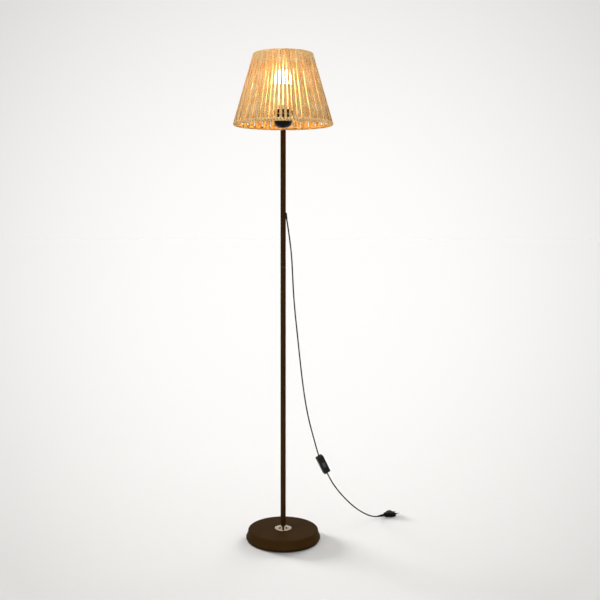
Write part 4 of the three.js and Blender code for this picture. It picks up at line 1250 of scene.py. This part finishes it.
def rope_widths(centres):
    """The rope is pressed wider near the top and, away from the front, all the way down."""
    to_top = np.clip((centres[:, 2] - TOP_RING[1] + TOP_BAND) / TOP_BAND, 0, 1)
    from_front = np.abs(np.arctan2(centres[:, 0], -centres[:, 1]))
    angles = [FRONT_HALF_ANGLE, ASIDE_HALF_ANGLE, BACK_HALF_ANGLE]
    aside = np.interp(from_front, angles, [ROPE_WIDER_IN_FRONT, ROPE_WIDER_ASIDE, ROPE_WIDER_BEHIND])
    wider = np.maximum(1 + (ROPE_WIDER_AT_TOP - 1) * to_top, aside)
    return ROPE_WIDTH * smoothed(wider, WIDTH_SMOOTHING)[:, None]


def yarns(centres, outs, phase):
    """Three flat yarns that weave over and under each other along a middle line.

    Each one comes as its points, their places on the yarn and how far they are lifted, as a share.
    """
    tangent = unit(np.gradient(centres, axis=0))
    across = unit(np.cross(tangent, outs))
    out = np.cross(across, tangent)
    along = np.concatenate([[0], np.cumsum(np.linalg.norm(np.diff(centres, axis=0), axis=1))])
    widths = rope_widths(centres)
    half_yarns = YARN_HALF_WIDTH * widths / ROPE_WIDTH
    swing = widths / 2 - half_yarns
    rise = ROPE_THICKNESS / 2 - YARN_HALF_THICKNESS * YARN_CREST_SHARE
    psi = np.linspace(0, TURN, YARN_SIDES, endpoint=False)
    for yarn in range(YARNS):
        turn = TURN * along / PLAIT_PITCH + phase + TURN * yarn / YARNS
        line = centres + swing * np.sin(turn)[:, None] * across + rise * np.sin(2 * turn)[:, None] * out
        lead = unit(np.gradient(line, axis=0))
        side = unit(np.cross(lead, out))
        top = np.cross(side, lead)
        points = (
            line[:, None, :]
            + half_yarns[:, :, None] * np.cos(psi)[None, :, None] * side[:, None, :]
            + YARN_HALF_THICKNESS * np.sin(psi)[None, :, None] * top[:, None, :]
        )
        spots = np.empty(points.shape)
        spots[:, :, 0] = along[:, None] + phase
        spots[:, :, 1] = psi / TURN
        spots[:, :, 2] = yarn / YARNS + phase / TURN
        # The lift also sets the painted shade in the valleys between yarns
        lift = rise * np.sin(2 * turn)[:, None] + YARN_HALF_THICKNESS * np.sin(psi)[None, :]
        yield points.reshape(-1, 3), spots.reshape(-1, 3), np.abs(lift).ravel() / (rise + YARN_HALF_THICKNESS)


def tube_faces(first, rings):
    """The sides and the two ends of a yarn, from the number of its first point."""
    ring_starts = first + np.arange(rings - 1)[:, None] * YARN_SIDES
    a = ring_starts + np.arange(YARN_SIDES)
    b = ring_starts + (np.arange(YARN_SIDES) + 1) % YARN_SIDES
    sides = np.stack([a, b, b + YARN_SIDES, a + YARN_SIDES], axis=2).reshape(-1, 4)
    ends = [range(k, k + YARN_SIDES) for k in (first, first + (rings - 1) * YARN_SIDES)]
    return sides.tolist() + ends


def make_ropes():
    for rope in range(ROPES):
        vertices, faces, places, lifts = [], [], [], []
        for centres, outs in [rope_path(rope), *filler_paths(rope)]:
            for points, spots, lift in yarns(centres, outs, rng.uniform(0, TURN)):
                faces += tube_faces(len(vertices), len(centres))
                vertices += points.tolist()
                places.append(spots)
                lifts.append(lift)
        piece = make_piece(f"jute_winding_{rope + 1}", vertices, faces, sharp=math.pi)
        for name, kind, field, values in (
            ("yarn_place", "FLOAT_VECTOR", "vector", places), ("yarn_lift", "FLOAT", "value", lifts),
        ):
            attribute = piece.data.attributes.new(name, kind, "POINT")
            attribute.data.foreach_set(field, np.concatenate(values).astype(np.float32).ravel())
        place(piece, "shade", "jute_rope", f"rope_{rope + 1}")


# Stage

def make_world():
    """Plain soft light from all sides; the camera, metal and glass see the backdrop's colour."""
    scene.world = bpy.data.worlds.new("backdrop")
    sky = Nodes(scene.world)
    direction = sky.node("ShaderNodeTexCoord").outputs["Generated"]
    seen = sky.node("ShaderNodeBackground", {"Color": sky.backdrop(direction)})
    strength = 1 - sum(share for _, lit, *_, share in SUNS if lit == "floor")
    light = sky.node("ShaderNodeBackground", {"Color": (1.0, 1.0, 1.0, 1.0), "Strength": strength})
    path = sky.node("ShaderNodeLightPath").outputs
    any_seen = path["Is Camera Ray"]
    for ray in ("Is Glossy Ray", "Is Transmission Ray"):
        any_seen = sky.math("MAXIMUM", any_seen, path[ray])
    mix = sky.node("ShaderNodeMixShader", {0: any_seen, 1: light.outputs[0], 2: seen.outputs[0]})
    sky.node("ShaderNodeOutputWorld", {"Surface": mix.outputs[0]})


def make_floor():
    """A floor in the backdrop's colours, with their painted pool of light about the camera's place. The world
    and the suns light it at a level of one.
    """
    half = FLOOR_SIZE / 2
    corners = [(-half, -half), (half, -half), (half, half), (-half, half)]
    floor = make_piece("floor", [(x, y, -FLOOR_DROP) for x, y in corners], [(0, 1, 2, 3)])
    material = bpy.data.materials.new("floor")
    paint = Nodes(material)
    place_in_space = paint.node("ShaderNodeNewGeometry").outputs["Position"]
    away = paint.vector("SUBTRACT", {0: place_in_space, 1: (0, -CAMERA_BACK, CAMERA_HEIGHT)})
    colour = paint.backdrop(paint.vector("NORMALIZE", {0: away}))
    surface = paint.node("ShaderNodeBsdfDiffuse", {"Color": colour})
    paint.node("ShaderNodeOutputMaterial", {"Surface": surface.outputs[0]})
    floor.data.materials.append(material)
    return floor


def make_suns(floor):
    """Wide soft lights from far away: two for the lamp, and two low ones for the floor alone.

    The low ones cast the wide soft shadow round the base. What they leave of the floor's
    light comes from the world.
    """
    for name, lit, turn, height, across, share in SUNS:
        data = bpy.data.lights.new(name, "SUN")
        data.angle = math.radians(across)
        data.energy = share * math.pi / math.sin(math.radians(height))
        sun = bpy.data.objects.new(name, data)
        sun.rotation_euler = (math.radians(90 - height), 0, math.radians(turn))
        scene.collection.objects.link(sun)
        linked = bpy.data.collections.new(f"{name}_lights")
        linked.objects.link(floor)
        linked.collection_objects[0].light_linking.link_state = "INCLUDE" if lit == "floor" else "EXCLUDE"
        sun.light_linking.receiver_collection = linked


finish_cad_nodes()
make_camera()
make_lead()
make_base()
make_rosette()
make_pole()
make_neck()
make_cup()
make_holder()
make_ring_nut()
make_dome()
make_collar()
make_bulb_cap()
make_shade_frame()
make_ropes()
make_world()
make_suns(make_floor())

scene.view_settings.view_transform = "Standard"
